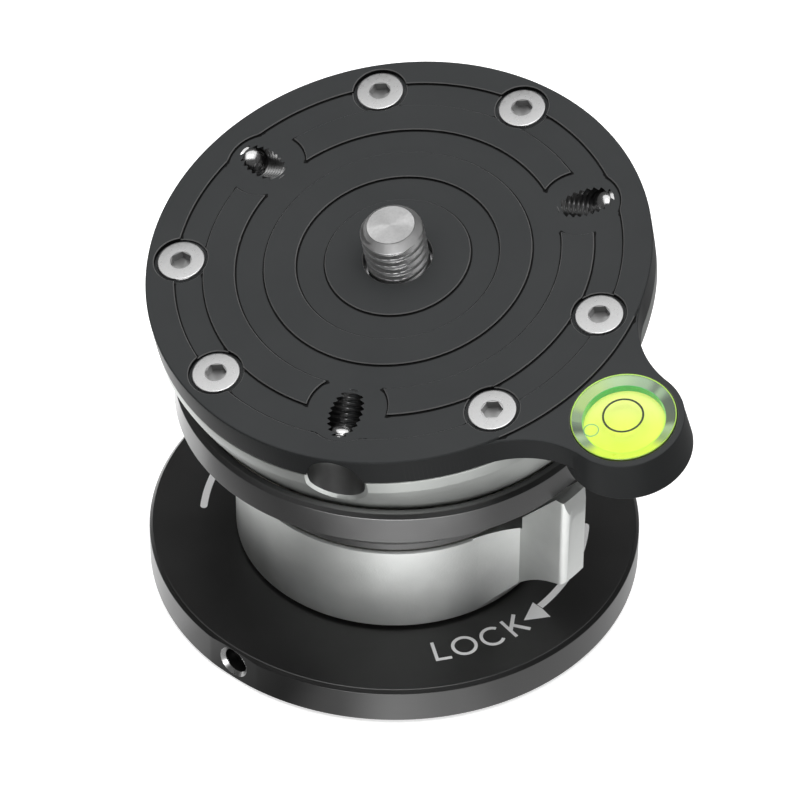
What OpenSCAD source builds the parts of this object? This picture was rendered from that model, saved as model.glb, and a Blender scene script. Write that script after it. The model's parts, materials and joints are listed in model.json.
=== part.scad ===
// Half-ball leveling base. A base plate with a tripod socket carries a housing with a spherical cup.
// A lever ring round the housing's column draws a centre bolt down and clamps a half ball in the cup.
// The half ball carries a head plate with a camera stud, three set screws and a bubble vial.
// Millimetres, +Z up, origin at the centre of the base plate's underside.

/* [Base plate] */
// Radius of the base plate
base_r = 37.5; // [36.5:0.5:42]
// Thickness of the base plate
base_t = 6.5; // [6:0.1:8]
// Chamfer round the base plate's edges
base_chamfer = 0.55; // [0.2:0.05:0.9]
// Thickness left under the housing's spigot
base_floor_t = 2.4; // [2.2:0.1:2.8]
// Depth of the flat milled on the rim for the set screw
rim_flat_depth = 0.25; // [0.1:0.05:0.5]
// Direction of the rim set screw
rim_screw_az = -130; // [-150:1:-110]
// Height of the rim set screw's axis
rim_screw_z = 3.5; // [3.1:0.1:4]
// Radius of the rim set screw
rim_screw_r = 2; // [1.5:0.1:2.2]
// How deep the rim set screw sits in its hole
rim_screw_recess = 2.2; // [0.5:0.1:4]
// Size of the rim set screw's hexagonal socket across its flats
rim_screw_hex = 2; // [1.5:0.5:2]
// Chamfer at the mouth of the rim hole
rim_hole_chamfer = 0.6; // [0.2:0.1:0.9]
// Number of screws that hold the base plate to the housing
base_screw_count = 4; // [3:1:6]
// Radius of the circle of base screws
base_screw_circle_r = 13.5; // [12.8:0.1:14.5]
// Shank radius of a base screw
base_screw_r = 2; // [1.5:0.1:2.2]
// Head radius of a base screw
base_screw_head_r = 3.8; // [3:0.1:4.2]
// Length of a base screw
base_screw_l = 10; // [8:1:12]
// Size of a base screw's hexagonal socket across its flats
base_screw_hex = 2.5; // [2:0.5:3]

/* [Tripod socket] */
// Wall radius of the 3/8 inch tapped hole
socket_r = 4; // [3.9:0.05:4.2]
// Outer radius of the threaded bushing
bushing_r = 8; // [7:0.1:8.5]
// Length of the threaded bushing
bushing_l = 11; // [9:0.5:11.5]

/* [Housing] */
// Radius of the column inside the lever ring
column_r = 19; // [18.5:0.1:19.5]
// Radius of the neck above the lever ring
neck_r = 24; // [23.5:0.1:25]
// Height of the neck's straight band
neck_h = 1.2; // [0.6:0.1:2]
// Height of the cone from the neck to the collar
cone_h = 9.1; // [8.9:0.1:10]
// Radius of the cone where it meets the collar
cone_top_r = 32.3; // [31.8:0.1:32.6]
// Radius of the collar
collar_r = 33; // [32.8:0.1:35]
// Height of the collar
collar_h = 5.2; // [4.5:0.1:6]
// Chamfer at the collar's top edge
collar_chamfer = 0.6; // [0.2:0.1:1]
// Width of the flat land between the collar's chamfer and the cup's mouth
collar_land = 0.91; // [0.8:0.01:1]
// Gap between the ball and the cup below the liner
cup_gap = 0.5; // [0.4:0.1:0.7]
// Gap between the ball and the collar's inner lip
lip_gap = 0.3; // [0.25:0.05:0.4]
// Thickness of the liner that the ball sits on
liner_t = 1; // [0.8:0.1:1.3]
// Height of the liner
liner_h = 5.2; // [4:0.1:5.6]
// Distance from the collar's top down to the liner
liner_drop = 1.5; // [1.2:0.1:2]

/* [Lever ring] */
// Outer radius of the lever ring
ring_r = 24.2; // [24:0.1:25]
// Height of the lever ring
ring_h = 15.2; // [14.6:0.1:16]
// Chamfer at the ring's edges
ring_chamfer = 0.3; // [0.1:0.1:0.6]
// Thickness of the washer under the ring
lower_washer_t = 0.55; // [0.4:0.05:0.8]
// Thickness of the washer above the ring
upper_washer_t = 0.35; // [0.3:0.05:0.5]
// How far each washer's edge lies inside the ring's
washer_inset = 0.9; // [0.5:0.1:1.5]
// Turn of the lever from locked to free, in degrees
lever_turn = 60; // [40:5:60]
// Direction of the lever's wing when locked
wing_az = -39.5; // [-60:0.5:-20]
// Half of the wing's width
wing_half_w = 2.6; // [2:0.1:3.2]
// Reach of the wing from the ring's axis
wing_reach = 35.15; // [34.6:0.05:36]
// Height of the wing's crest above the ring's top
wing_rise = 9.7; // [9:0.1:9.9]
// Radius where the wing rises from the ring's top
wing_foot_r = 26.85; // [26.4:0.05:27.2]
// Height of the upright step at the wing's foot
wing_foot_h = 2.4; // [2:0.1:3]
// Height of the bevel on the wing's end
wing_bevel_h = 3; // [2:0.1:3.6]
// Rounding of the wing's upright corners
wing_corner_r = 1.5; // [0.8:0.1:2]
// Radius of the long fillet between the ring and the wing
wing_fillet_r = 21; // [19:0.5:22]
// Radius of the short fillet at the wing's root
wing_root_r = 2.2; // [1.6:0.1:2.6]
// Height of the wing's lower corner above the ring's underside
wing_under_h = 8.6; // [8.3:0.1:9]
// Radius of the curve on the wing's underside
wing_under_r = 15; // [14.6:0.1:15.5]

/* [Clamp] */
// Lift of the clamp bolt over the lever's whole turn
clamp_lift = 0.75; // [0.5:0.05:0.8]
// Radius of the clamp bolt's shank
bolt_r = 4; // [3.6:0.1:4.1]
// Radius of the boss at the clamp bolt's foot
boss_r = 8; // [7.5:0.1:8.2]
// Height of the boss
boss_h = 7.6; // [7:0.1:7.8]
// Radius of the cross pin
cross_pin_r = 2; // [1.8:0.1:2.1]
// Half length of the cross pin
cross_pin_half_l = 22.3; // [21.8:0.1:22.5]
// Height of the cross pin's axis
cross_pin_z = 16; // [15.9:0.1:16.2]
// Radius of the clamp washer
clamp_washer_r = 20.9; // [20:0.1:21.2]
// Thickness of the clamp washer's rim
clamp_rim_t = 1; // [0.8:0.1:1.5]
// Radius of the spring washer under the nut
spring_washer_r = 8.5; // [8:0.1:9]
// Thickness of the spring washer
spring_washer_t = 1; // [0.8:0.1:1.4]
// Height of the clamp nut
nut_h = 5; // [4:0.5:6]
// Width of the clamp nut across its flats
nut_af = 13; // [12:0.5:14]
// Radius of the stop pin under the lever ring
stop_pin_r = 1.5; // [1.2:0.1:1.6]
// Direction of the stop pin
stop_pin_az = 75; // [70:1:80]
// How far the stop pin stands into the ring
stop_pin_reach = 2.7; // [2:0.1:3.2]

/* [Half ball] */
// Radius of the half ball
ball_r = 38.55; // [38.2:0.05:38.8]
// Wall of the half ball
ball_wall = 4.5; // [4:0.1:4.8]
// Radius of the half ball's rim
ball_rim_r = 37.45; // [37:0.05:37.8]
// Bore of the half ball's thick upper rim
rim_bore_r = 27.5; // [27:0.1:28]
// Chamfer on the half ball's top edge
rim_chamfer = 0.3; // [0.1:0.1:0.5]
// Radius of the hole that the clamp bolt passes through
ball_hole_r = 14.7; // [14.5:0.1:15]
// Tilt of the head from level
head_tilt = 12.8; // [0:0.1:15]
// Direction that the head tilts towards
tilt_az = -129.4; // [-180:0.1:180]
// Turn of the head about its own axis
head_turn = -0.7; // [-5:0.1:5]

/* [Head plate] */
// Radius of the head plate
plate_r = 37.5; // [37.3:0.1:39]
// Thickness of the head plate
plate_t = 5.1; // [4.9:0.1:5.6]
// Depth of the head plate's top face below the ball's centre
plate_drop = 1.9; // [1.5:0.1:2.4]
// Chamfer on the head plate's edges
plate_chamfer = 0.3; // [0.1:0.05:0.5]
// Depth of the recessed rings
ring_recess = 0.4; // [0.2:0.05:0.5]
// Radius of the inmost recessed ring's inner edge
first_ring_r = 10.8; // [10.5:0.1:11]
// Width of each recessed ring
recess_w = 4.3; // [3.8:0.1:4.5]
// Width of the raised land between two recessed rings
land_w = 4.75; // [4.5:0.05:5]
// Radius of the pocket round each set screw slot
slot_pocket_r = 6; // [5.5:0.1:6.3]
// Distance of those pockets from the axis
slot_pocket_at = 28; // [27.5:0.1:28.4]
// Shank radius of a plate screw
plate_screw_r = 2; // [1.5:0.1:2.1]
// Head radius of a plate screw
plate_screw_head_r = 3.6; // [3.2:0.1:3.7]
// Head height of a plate screw
plate_screw_head_h = 2.2; // [1.8:0.1:2.4]
// How far a plate screw's head stands above the recessed ring
plate_screw_proud = 0.2; // [0.1:0.1:0.3]
// Length of a plate screw under its head
plate_screw_l = 8; // [6:1:10]
// Radius of the circle of plate screws
plate_screw_circle_r = 32.4; // [32.2:0.1:32.6]
// Angle of a plate screw from the set screw it stands beside
plate_screw_step = 40; // [36:1:44]
// Size of a plate screw's hexagonal socket across its flats
plate_screw_hex = 2.5; // [2:0.5:3]

/* [Set screws in the head] */
// Radius of a head set screw
set_screw_r = 2.5; // [2:0.1:2.6]
// Length of a head set screw
set_screw_l = 4; // [4:0.5:4.5]
// Size of a head set screw's hexagonal socket across its flats
set_screw_hex = 2.5; // [2:0.5:2.5]
// Angle of the set screws to the head plate
set_screw_slope = 35; // [33:0.5:37]
// Distance from the axis where a set screw's axis meets the top face
set_screw_at = 28.2; // [27.8:0.05:28.6]
// Distance along that axis from the top face to the screw's tip
set_screw_start = 2.6; // [2.5:0.1:3]
// Radius of the driver's access hole
access_r = 4.3; // [4.1:0.1:4.4]
// How far the access hole lies above the set screw's axis
access_lift = 0.45; // [0.3:0.05:0.5]
// Distance along the axis from the top face to the access hole
access_start = 7.8; // [7.6:0.1:8.2]
// Angle of the first set screw about the head's axis
first_set_screw_az = 15; // [10:1:20]

/* [Camera stud] */
// Radius of the 3/8 inch stud
stud_r = 4.76; // [4.5:0.01:5]
// Height of the stud above the head plate
stud_h = 7.3; // [6:0.1:10]
// Chamfer at the stud's tip
stud_chamfer = 1.1; // [0.6:0.1:1.5]
// Clearance round the stud in the head plate
stud_clearance = 0.4; // [0.3:0.05:0.6]
// Depth of the relief on the stud's neck inside the head plate
stud_relief = 0.4; // [0.3:0.05:0.6]
// Width of the stud's hexagonal flange across its flats
stud_flange_af = 16; // [14:0.5:17]
// Thickness of the stud's flange
stud_flange_t = 2.5; // [2:0.1:3]
// Radius of the retainer under the stud
retainer_r = 15; // [14:0.5:16]
// Thickness of the retainer
retainer_t = 2; // [2:0.1:3]
// Radius of the circle of retainer screws
retainer_circle_r = 12; // [11.5:0.1:12.3]
// Shank radius of a retainer screw
retainer_screw_r = 1.5; // [1.2:0.1:1.5]
// Length of a retainer screw
retainer_screw_l = 5; // [4:0.5:5.5]
// Size of a retainer screw's hexagonal socket across its flats
retainer_screw_hex = 2; // [1.5:0.5:2]

/* [Bubble vial] */
// Distance of the vial from the head's axis
vial_at = 45.9; // [45.5:0.1:48]
// Direction of the vial about the head's axis
vial_az = -45; // [-48:1:-42]
// Radius of the ear round the vial, at its top
ear_r = 8.75; // [8.5:0.05:9.1]
// Radius of the ear at its foot
ear_foot_r = 9.35; // [9.2:0.05:9.6]
// How far the ear reaches below the head plate
ear_drop = 2.35; // [1.5:0.05:2.6]
// Radius of the fillets between the ear and the plate
ear_fillet_r = 15; // [12:0.5:18]
// Radius of the vial
vial_r = 7.65; // [7.3:0.05:7.8]
// Height of the vial
vial_h = 4.2; // [4:0.1:4.4]
// How far the vial stands above the ear
vial_proud = 0.4; // [0.2:0.1:0.6]
// Radius of the liquid chamber
liquid_r = 5.8; // [5:0.1:6]
// Height of the liquid chamber
liquid_h = 2.6; // [2:0.1:2.8]
// Thickness of the plate that closes the chamber
backing_t = 0.4; // [0.3:0.1:0.5]

/* [Fits] */
// Radial gap of parts that turn or slide in each other
running_gap = 0.06; // [0.02:0.01:0.09]
// Gap between the ball and what it rubs on
ball_gap = 0.1; // [0.05:0.01:0.2]
// Gap of a cam groove round the cross pin
cam_gap = 0.12; // [0.1:0.01:0.2]
// Gap round fixed parts in their seats
seat_gap = 0.04; // [0.02:0.01:0.08]
// Gap round a screw's head in its counterbore
head_gap = 0.3; // [0.15:0.05:0.4]
// Gap round a plate screw's head in its counterbore
counterbore_gap = 0.45; // [0.35:0.05:0.5]

/* [Hidden] */
$fn = 96;
eps = 0.01;
head_bevel = 0.25;
hole_over_screw = 0.5;

// Heights of the stack, from the base plate up to the centre of the ball
ring_z = base_t + lower_washer_t + running_gap;
ring_top_z = ring_z + ring_h;
neck_z = ring_top_z + running_gap + upper_washer_t;
cone_z = neck_z + neck_h;
collar_z = cone_z + cone_h;
collar_top_z = collar_z + collar_h;
mouth_r = collar_r - collar_chamfer - collar_land;
ball_rise = sqrt((ball_r + lip_gap) ^ 2 - mouth_r ^ 2);
pivot_z = collar_top_z + ball_rise;
cup_r = ball_r + cup_gap;
liner_in_r = ball_r + ball_gap;
liner_out_r = liner_in_r + liner_t;
liner_top = -ball_rise - liner_drop;
liner_bottom = liner_top - liner_h;
ring_bore_r = column_r + running_gap;
washer_r = ring_r - washer_inset;
shank_hole_r = bolt_r + head_gap;
boss_z = cross_pin_z - boss_h / 2;
boss_bore_top = boss_z + boss_h + clamp_lift + head_gap;
pin_window_w = 2 * (cross_pin_r + running_gap);
groove_r = cross_pin_half_l + cam_gap;
groove_mid_r = (ring_bore_r + groove_r) / 2;
cam_slope = atan(clamp_lift / 2 / (groove_mid_r * sin(lever_turn / 2)));
cam_sector = lever_turn / 2 + 12;
bayonet_az = -lever_turn / 2 - 15;
stop_slot_r = stop_pin_r + running_gap;
stop_circle_r = (ring_bore_r + ring_r) / 2;
bolt_top_z = clamp_washer_top_z() + spring_washer_t + nut_h + 1;
ball_in_r = ball_r - ball_wall;
clamp_face_r = ball_in_r - ball_gap;
plate_top = -plate_drop;
plate_bottom = plate_top - plate_t;
recess_r = [for (k = [0:2]) first_ring_r + k * (recess_w + land_w)];
set_screw_az = [for (k = [0:2]) first_set_screw_az + 120 * k];
plate_screw_az = [for (a = set_screw_az, side = [-1, 1]) a + side * plate_screw_step];
ear_centre = vial_at * [cos(vial_az), sin(vial_az)];
fillet_bite = 0.02;
first_base_screw_az = 45;
first_retainer_az = 30;
fillet_at = plate_r + ear_fillet_r - fillet_bite;
fillet_swing = acos((fillet_at ^ 2 + vial_at ^ 2 - (ear_r + ear_fillet_r - fillet_bite) ^ 2)
    / (2 * vial_at * fillet_at));
vial_z = plate_top - ring_recess + vial_proud - vial_h;
vial_pocket_r = vial_r + seat_gap;
retainer_step = 120;

// Height of the clamp washer's flat top
function clamp_washer_top_z() =
    pivot_z - sqrt((ball_r - ball_wall - ball_gap) ^ 2 - clamp_washer_r ^ 2) + clamp_rim_t;

// Points of an arc about a centre, from angle a0 to a1
function arc(c, r, a0, a1, n = 12) = [
    for (k = [0:n]) let (a = a0 + (a1 - a0) * k / n) c + r * [cos(a), sin(a)]
];

// Fillet circles in the wing's plan: the wing runs along +X and the near side is +Y
root_y = wing_half_w + wing_root_r;
long_at = ring_r + wing_fillet_r - fillet_bite;
long_az = 21.5;
long_c = long_at * [cos(long_az), sin(long_az)];
root_x = long_c[0] - sqrt((wing_fillet_r - wing_root_r) ^ 2 - (long_c[1] - root_y) ^ 2);

// A screw along +Z with its head's top at z = 0: shank below, hexagonal socket in the head
module cap_screw(shank_r, head_r, head_h, length, socket_af) {
    difference() {
        union() {
            translate([0, 0, -head_h]) cylinder(r = head_r, h = head_h - head_bevel);
            translate([0, 0, -head_bevel]) cylinder(r1 = head_r, r2 = head_r - head_bevel, h = head_bevel);
            translate([0, 0, -head_h - length]) cylinder(r = shank_r, h = length + eps);
        }
        hex_socket(socket_af, head_h * 0.6);
    }
}

// A countersunk screw along +Z with its head's flat top at z = 0
module flat_screw(shank_r, head_r, length, socket_af) {
    head_h = head_r - shank_r;
    difference() {
        union() {
            translate([0, 0, -head_h]) cylinder(r1 = shank_r, r2 = head_r, h = head_h);
            translate([0, 0, -length]) cylinder(r = shank_r, h = length - head_h + eps);
        }
        hex_socket(socket_af, head_h * 0.8);
    }
}

// A set screw along +Z with its point at z = 0 and its socket below
module set_screw(r, length, point, socket_af, socket_depth) {
    difference() {
        union() {
            translate([0, 0, -point]) cylinder(r1 = r, r2 = r - point, h = point);
            translate([0, 0, -length]) cylinder(r = r, h = length - point + eps);
        }
        translate([0, 0, -length]) rotate([180, 0, 0]) hex_socket(socket_af, socket_depth);
    }
}

// Hexagonal socket cut down from z = 0
module hex_socket(af, depth) {
    translate([0, 0, -depth]) cylinder(r = af / sqrt(3), h = depth + eps, $fn = 6);
}

// A wedge about +X, used to keep a cut to one sector
module sector(a0, a1, r, z0, z1) {
    translate([0, 0, z0])
        linear_extrude(z1 - z0)
            polygon([[0, 0], r * [cos(a0), sin(a0)], r * 1.2 * [cos((a0 + a1) / 2), sin((a0 + a1) / 2)],
                r * [cos(a1), sin(a1)]]);
}

// Places its children in the head's own frame, whose origin is the ball's centre
module in_head() {
    translate([0, 0, pivot_z])
        rotate(a = head_tilt, v = [-sin(tilt_az), cos(tilt_az), 0])
            rotate([0, 0, head_turn])
                children();
}

// Places its children on a set screw's axis: origin on the top face, +Z towards the stud side
module on_set_screw(az) {
    rotate([0, 0, az])
        translate([set_screw_at, 0, plate_top])
            rotate([0, set_screw_slope - 90, 0])
                children();
}

// Places its children on the rim screw's axis, +Z outward
module on_rim_screw() {
    rotate([0, 0, rim_screw_az])
        translate([base_r - rim_flat_depth, 0, rim_screw_z])
            rotate([0, 90, 0])
                children();
}

module at_base_screws() {
    for (k = [0:base_screw_count - 1])
        rotate([0, 0, first_base_screw_az + k * 360 / base_screw_count])
            translate([base_screw_circle_r, 0, 0])
                rotate([180, 0, 0])
                    children();
}

module base_plate() {
    rim_hole_r = rim_screw_r + running_gap;
    color([0.13, 0.13, 0.14])
        difference() {
            union() {
                cylinder(r1 = base_r - base_chamfer, r2 = base_r, h = base_chamfer);
                translate([0, 0, base_chamfer]) cylinder(r = base_r, h = base_t - 2 * base_chamfer);
                translate([0, 0, base_t - base_chamfer])
                    cylinder(r1 = base_r, r2 = base_r - base_chamfer, h = base_chamfer);
            }
            // recess for the housing's spigot, and the bushing's hole
            translate([0, 0, base_floor_t]) cylinder(r = column_r + seat_gap, h = base_t);
            translate([0, 0, -eps]) cylinder(r = bushing_r + seat_gap, h = base_t);
            // countersunk holes
            at_base_screws() {
                translate([0, 0, -base_t]) cylinder(r = base_screw_r + seat_gap, h = base_t + eps);
                translate([0, 0, base_screw_r - base_screw_head_r])
                    cylinder(r1 = base_screw_r + seat_gap, r2 = base_screw_head_r + seat_gap,
                        h = base_screw_head_r - base_screw_r + eps);
            }
            // flat and tapped hole for the rim screw
            on_rim_screw() {
                translate([-base_t, -base_t, 0]) cube([2 * base_t, 2 * base_t, base_t]);
                translate([0, 0, -base_r + column_r - base_t]) cylinder(r = rim_hole_r, h = base_r);
                translate([0, 0, -rim_hole_chamfer])
                    cylinder(r1 = rim_hole_r, r2 = rim_hole_r + rim_hole_chamfer,
                        h = rim_hole_chamfer + eps);
            }
            // hole for the stop pin
            rotate([0, 0, stop_pin_az])
                translate([stop_circle_r, 0, base_floor_t])
                    cylinder(r = stop_pin_r + seat_gap / 2, h = base_t);
        }
}

module base_bushing() {
    color("silver")
        difference() {
            cylinder(r = bushing_r, h = bushing_l);
            translate([0, 0, -1]) cylinder(r = socket_r, h = bushing_l + 2);
        }
}

module base_screws() {
    color("silver")
        at_base_screws()
            flat_screw(base_screw_r, base_screw_head_r, base_screw_l, base_screw_hex);
}

module stop_pin() {
    color("silver")
        rotate([0, 0, stop_pin_az])
            translate([stop_circle_r, 0, base_floor_t])
                cylinder(r = stop_pin_r, h = ring_z + stop_pin_reach - base_floor_t);
}

module base_set_screw() {
    point_gap = 0.05;
    point = 0.6;
    socket_depth = 2.2;
    length = base_r - rim_flat_depth - rim_screw_recess - column_r - point_gap;
    color([0.16, 0.16, 0.17])
        on_rim_screw()
            translate([0, 0, -rim_screw_recess - length])
                rotate([180, 0, 0])
                    set_screw(rim_screw_r, length, point, rim_screw_hex, socket_depth);
}

module ball_housing() {
    color([0.25, 0.25, 0.27])
        difference() {
            rotate_extrude()
                polygon([
                    [0, base_floor_t], [column_r, base_floor_t], [column_r, neck_z], [neck_r, neck_z],
                    [neck_r, cone_z], [cone_top_r, collar_z], [collar_r, collar_z],
                    [collar_r, collar_top_z - collar_chamfer], [collar_r - collar_chamfer, collar_top_z],
                    [0, collar_top_z]
                ]);
            // cup: tight at the lip, wider for the liner, free below it
            translate([0, 0, pivot_z]) {
                sphere(r = ball_r + lip_gap);
                intersection() {
                    sphere(r = liner_out_r + ball_gap);
                    translate([0, 0, liner_bottom - ball_gap])
                        cylinder(r = collar_r, h = liner_h + 2 * ball_gap);
                }
                intersection() {
                    sphere(r = cup_r);
                    translate([0, 0, -2 * ball_r + liner_bottom]) cylinder(r = collar_r, h = 2 * ball_r);
                }
            }
            // bores for the bolt and its boss, windows for the cross pin, and the base screws' holes
            cylinder(r = boss_r + running_gap, h = boss_bore_top);
            cylinder(r = shank_hole_r, h = collar_z);
            translate([-column_r - 1, -pin_window_w / 2, cross_pin_z - cross_pin_r - cam_gap])
                cube([2 * column_r + 2, pin_window_w, 2 * (cross_pin_r + cam_gap) + clamp_lift]);
            at_base_screws()
                translate([0, 0, -base_screw_l - hole_over_screw])
                    cylinder(r = base_screw_r + seat_gap / 2, h = base_screw_l);
        }
}

module lever_washer(z, t) {
    translate([0, 0, z])
        difference() {
            cylinder(r = washer_r, h = t);
            translate([0, 0, -eps]) cylinder(r = column_r + seat_gap, h = t + 1);
        }
}

module lower_lever_washer() {
    color("white")
        difference() {
            lever_washer(base_t, lower_washer_t);
            rotate([0, 0, stop_pin_az])
                translate([stop_circle_r, 0, base_t - eps])
                    cylinder(r = stop_pin_r + seat_gap, h = lower_washer_t + 1);
        }
}

module upper_lever_washer() {
    color("white") lever_washer(neck_z - upper_washer_t, upper_washer_t);
}

// Section of the wing, radius against height, revolved and then cut to the wing's plan
module wing_section() {
    under_start = 65;
    under_end = 23;
    root_bite = 0.2;
    corner = 0.25;
    crest_setback = 0.85;
    crest_w = 1.4;
    inner_r = ring_r - 2;
    under_z = ring_z + wing_under_h;
    crest_z = ring_top_z + wing_rise;
    crest_r = wing_reach - crest_setback;
    c = [ring_r - root_bite + wing_under_r * sin(under_start), ring_z - wing_under_r * cos(under_start)];
    polygon(concat(
        arc(c, wing_under_r, 90 + under_start, 90 + under_end),
        [[wing_reach - 3 * corner, under_z - corner], [wing_reach - corner, under_z + corner]],
        [[wing_reach, crest_z - wing_bevel_h], [crest_r, crest_z], [crest_r - crest_w, crest_z]],
        [[wing_foot_r, ring_top_z + wing_foot_h], [wing_foot_r, ring_top_z]],
        [[ring_r - ring_chamfer - root_bite, ring_top_z], [inner_r, ring_top_z - 1], [inner_r, ring_z + 1]]
    ));
}

// Plan of the wing along +X: a bar with rounded corners, and a filleted root on both sides
module wing_plan() {
    square_end = wing_reach - wing_corner_r;
    translate([0, -wing_half_w]) square([square_end, 2 * wing_half_w]);
    translate([0, wing_corner_r - wing_half_w]) square([wing_reach, 2 * (wing_half_w - wing_corner_r)]);
    for (side = [-1, 1])
        translate([square_end, side * (wing_half_w - wing_corner_r)]) circle(r = wing_corner_r);
    for (side = [0, 1])
        mirror([0, side])
            difference() {
                polygon([[0, 0], long_c, [root_x, root_y], [root_x, 0]]);
                translate(long_c) circle(r = wing_fillet_r);
                translate([root_x, root_y]) circle(r = wing_root_r);
            }
}

module lever_ring() {
    color([0.72, 0.73, 0.72])
        difference() {
            union() {
                translate([0, 0, ring_z]) cylinder(r = ring_r, h = ring_h - ring_chamfer);
                translate([0, 0, ring_top_z - ring_chamfer])
                    cylinder(r1 = ring_r, r2 = ring_r - ring_chamfer, h = ring_chamfer);
                intersection() {
                    rotate_extrude() wing_section();
                    rotate([0, 0, wing_az]) linear_extrude(collar_z) wing_plan();
                }
            }
            cylinder(r = ring_bore_r, h = collar_top_z);
            // cam grooves for the two ends of the cross pin, and their entry slots from below
            for (side = [0, 180])
                rotate([0, 0, side - lever_turn / 2]) {
                    cam_groove();
                    rotate([0, 0, bayonet_az])
                        translate([0, -cross_pin_r - cam_gap, 0])
                            cube([groove_r, 2 * (cross_pin_r + cam_gap), cross_pin_z + clamp_lift]);
                }
            stop_slot();
        }
}

// One cam groove in the sector about +X: a slot tilted about X, so that it rises with the angle
module cam_groove() {
    half_h = cross_pin_r + cam_gap;
    intersection() {
        translate([0, 0, cross_pin_z + clamp_lift / 2])
            rotate([-cam_slope, 0, 0])
                translate([0, 0, -half_h])
                    cylinder(r = groove_r, h = 2 * half_h);
        sector(bayonet_az - 7, cam_sector, ring_r, 0, collar_z);
    }
}

// Arc slot in the ring's underside that takes the stop pin through the lever's turn
module stop_slot() {
    slot_h = ring_z + stop_pin_reach + 0.3;
    end_angle = asin(stop_slot_r / stop_circle_r);
    intersection() {
        difference() {
            cylinder(r = stop_circle_r + stop_slot_r, h = slot_h);
            translate([0, 0, -eps]) cylinder(r = stop_circle_r - stop_slot_r, h = slot_h + 1);
        }
        sector(stop_pin_az - lever_turn - end_angle, stop_pin_az + end_angle, 2 * ring_r, -eps, collar_z);
    }
}

module clamp_bolt() {
    color("silver")
        difference() {
            union() {
                translate([0, 0, boss_z]) cylinder(r = boss_r, h = boss_h);
                translate([0, 0, boss_z]) cylinder(r = bolt_r, h = bolt_top_z - boss_z);
            }
            translate([-boss_r - 1, 0, cross_pin_z]) rotate([0, 90, 0])
                cylinder(r = cross_pin_r + seat_gap / 2, h = 2 * boss_r + 2);
        }
}

module cross_pin() {
    color("silver")
        translate([-cross_pin_half_l, 0, cross_pin_z])
            rotate([0, 90, 0])
                cylinder(r = cross_pin_r, h = 2 * cross_pin_half_l);
}

module clamp_washer() {
    color([0.8, 0.68, 0.35])
        difference() {
            intersection() {
                translate([0, 0, pivot_z]) sphere(r = clamp_face_r);
                translate([0, 0, pivot_z - ball_r])
                    cylinder(r = clamp_washer_r, h = clamp_washer_top_z() - pivot_z + ball_r);
            }
            cylinder(r = bolt_r + seat_gap, h = pivot_z);
        }
}

module spring_washer() {
    color("gray")
        translate([0, 0, clamp_washer_top_z()])
            difference() {
                cylinder(r = spring_washer_r, h = spring_washer_t);
                translate([0, 0, -eps]) cylinder(r = bolt_r + seat_gap, h = spring_washer_t + 1);
            }
}

module clamp_nut() {
    color("silver")
        translate([0, 0, clamp_washer_top_z() + spring_washer_t])
            difference() {
                cylinder(r = nut_af / sqrt(3), h = nut_h, $fn = 6);
                translate([0, 0, -eps]) cylinder(r = bolt_r + seat_gap, h = nut_h + 1);
            }
}

module seat_liner() {
    color([0.85, 0.85, 0.8])
        translate([0, 0, pivot_z])
            intersection() {
                difference() {
                    sphere(r = liner_out_r);
                    sphere(r = liner_in_r);
                }
                translate([0, 0, liner_bottom]) cylinder(r = collar_r, h = liner_h);
            }
}

// Cuts for the three set screws: tapped holes through to the top face and access holes from the rim
module set_screw_cuts(gap) {
    for (a = set_screw_az)
        on_set_screw(a) {
            translate([0, 0, -3 * set_screw_l]) cylinder(r = set_screw_r + gap, h = 6 * set_screw_l);
            translate([access_lift, 0, -access_start - plate_r]) cylinder(r = access_r, h = plate_r);
        }
}

module half_ball() {
    deep = sqrt(ball_in_r ^ 2 - rim_bore_r ^ 2);
    rim_h = ball_r + plate_bottom - rim_chamfer;
    color([0.68, 0.69, 0.69])
        in_head()
            difference() {
                intersection() {
                    sphere(r = ball_r);
                    union() {
                        translate([0, 0, -ball_r]) cylinder(r = ball_rim_r, h = rim_h);
                        translate([0, 0, plate_bottom - rim_chamfer])
                            cylinder(r1 = ball_rim_r, r2 = ball_rim_r - rim_chamfer, h = rim_chamfer);
                    }
                }
                intersection() {
                    sphere(r = ball_in_r);
                    translate([0, 0, -ball_r]) cylinder(r = ball_r, h = ball_r - deep + 1);
                }
                translate([0, 0, -deep - 1]) cylinder(r = rim_bore_r, h = deep + 1);
                translate([0, 0, -ball_r - 1]) cylinder(r = ball_hole_r, h = ball_r);
                for (a = plate_screw_az)
                    rotate([0, 0, a])
                        translate([plate_screw_circle_r, 0, plate_bottom - plate_screw_l])
                            cylinder(r = plate_screw_r + seat_gap / 2, h = plate_screw_l + 1);
                set_screw_cuts(running_gap);
            }
}

// The head plate's outline with the neck of its ear: fillet circles bite a little into both rounds
module plate_outline() {
    c = [for (a = [vial_az - fillet_swing, vial_az + fillet_swing]) fillet_at * [cos(a), sin(a)]];
    difference() {
        union() {
            circle(r = plate_r);
            polygon([[0, 0], c[0], ear_centre, c[1]]);
        }
        for (p = c)
            translate(p) circle(r = ear_fillet_r);
    }
}

// The ear: a round that widens downward and clears the half ball below the plate
module ear() {
    foot_z = plate_bottom - ear_drop;
    difference() {
        translate([ear_centre[0], ear_centre[1], foot_z])
            cylinder(r1 = ear_foot_r, r2 = ear_r, h = ear_drop + plate_t - ring_recess);
        translate([0, 0, foot_z - 1]) cylinder(r = ball_rim_r + head_gap, h = ear_drop + 1);
    }
}

// A flat ring standing on z = 0
module flat_ring(r_in, r_out, h) {
    difference() {
        cylinder(r = r_out, h = h);
        translate([0, 0, -eps]) cylinder(r = r_in, h = h + 2 * eps);
    }
}

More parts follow.
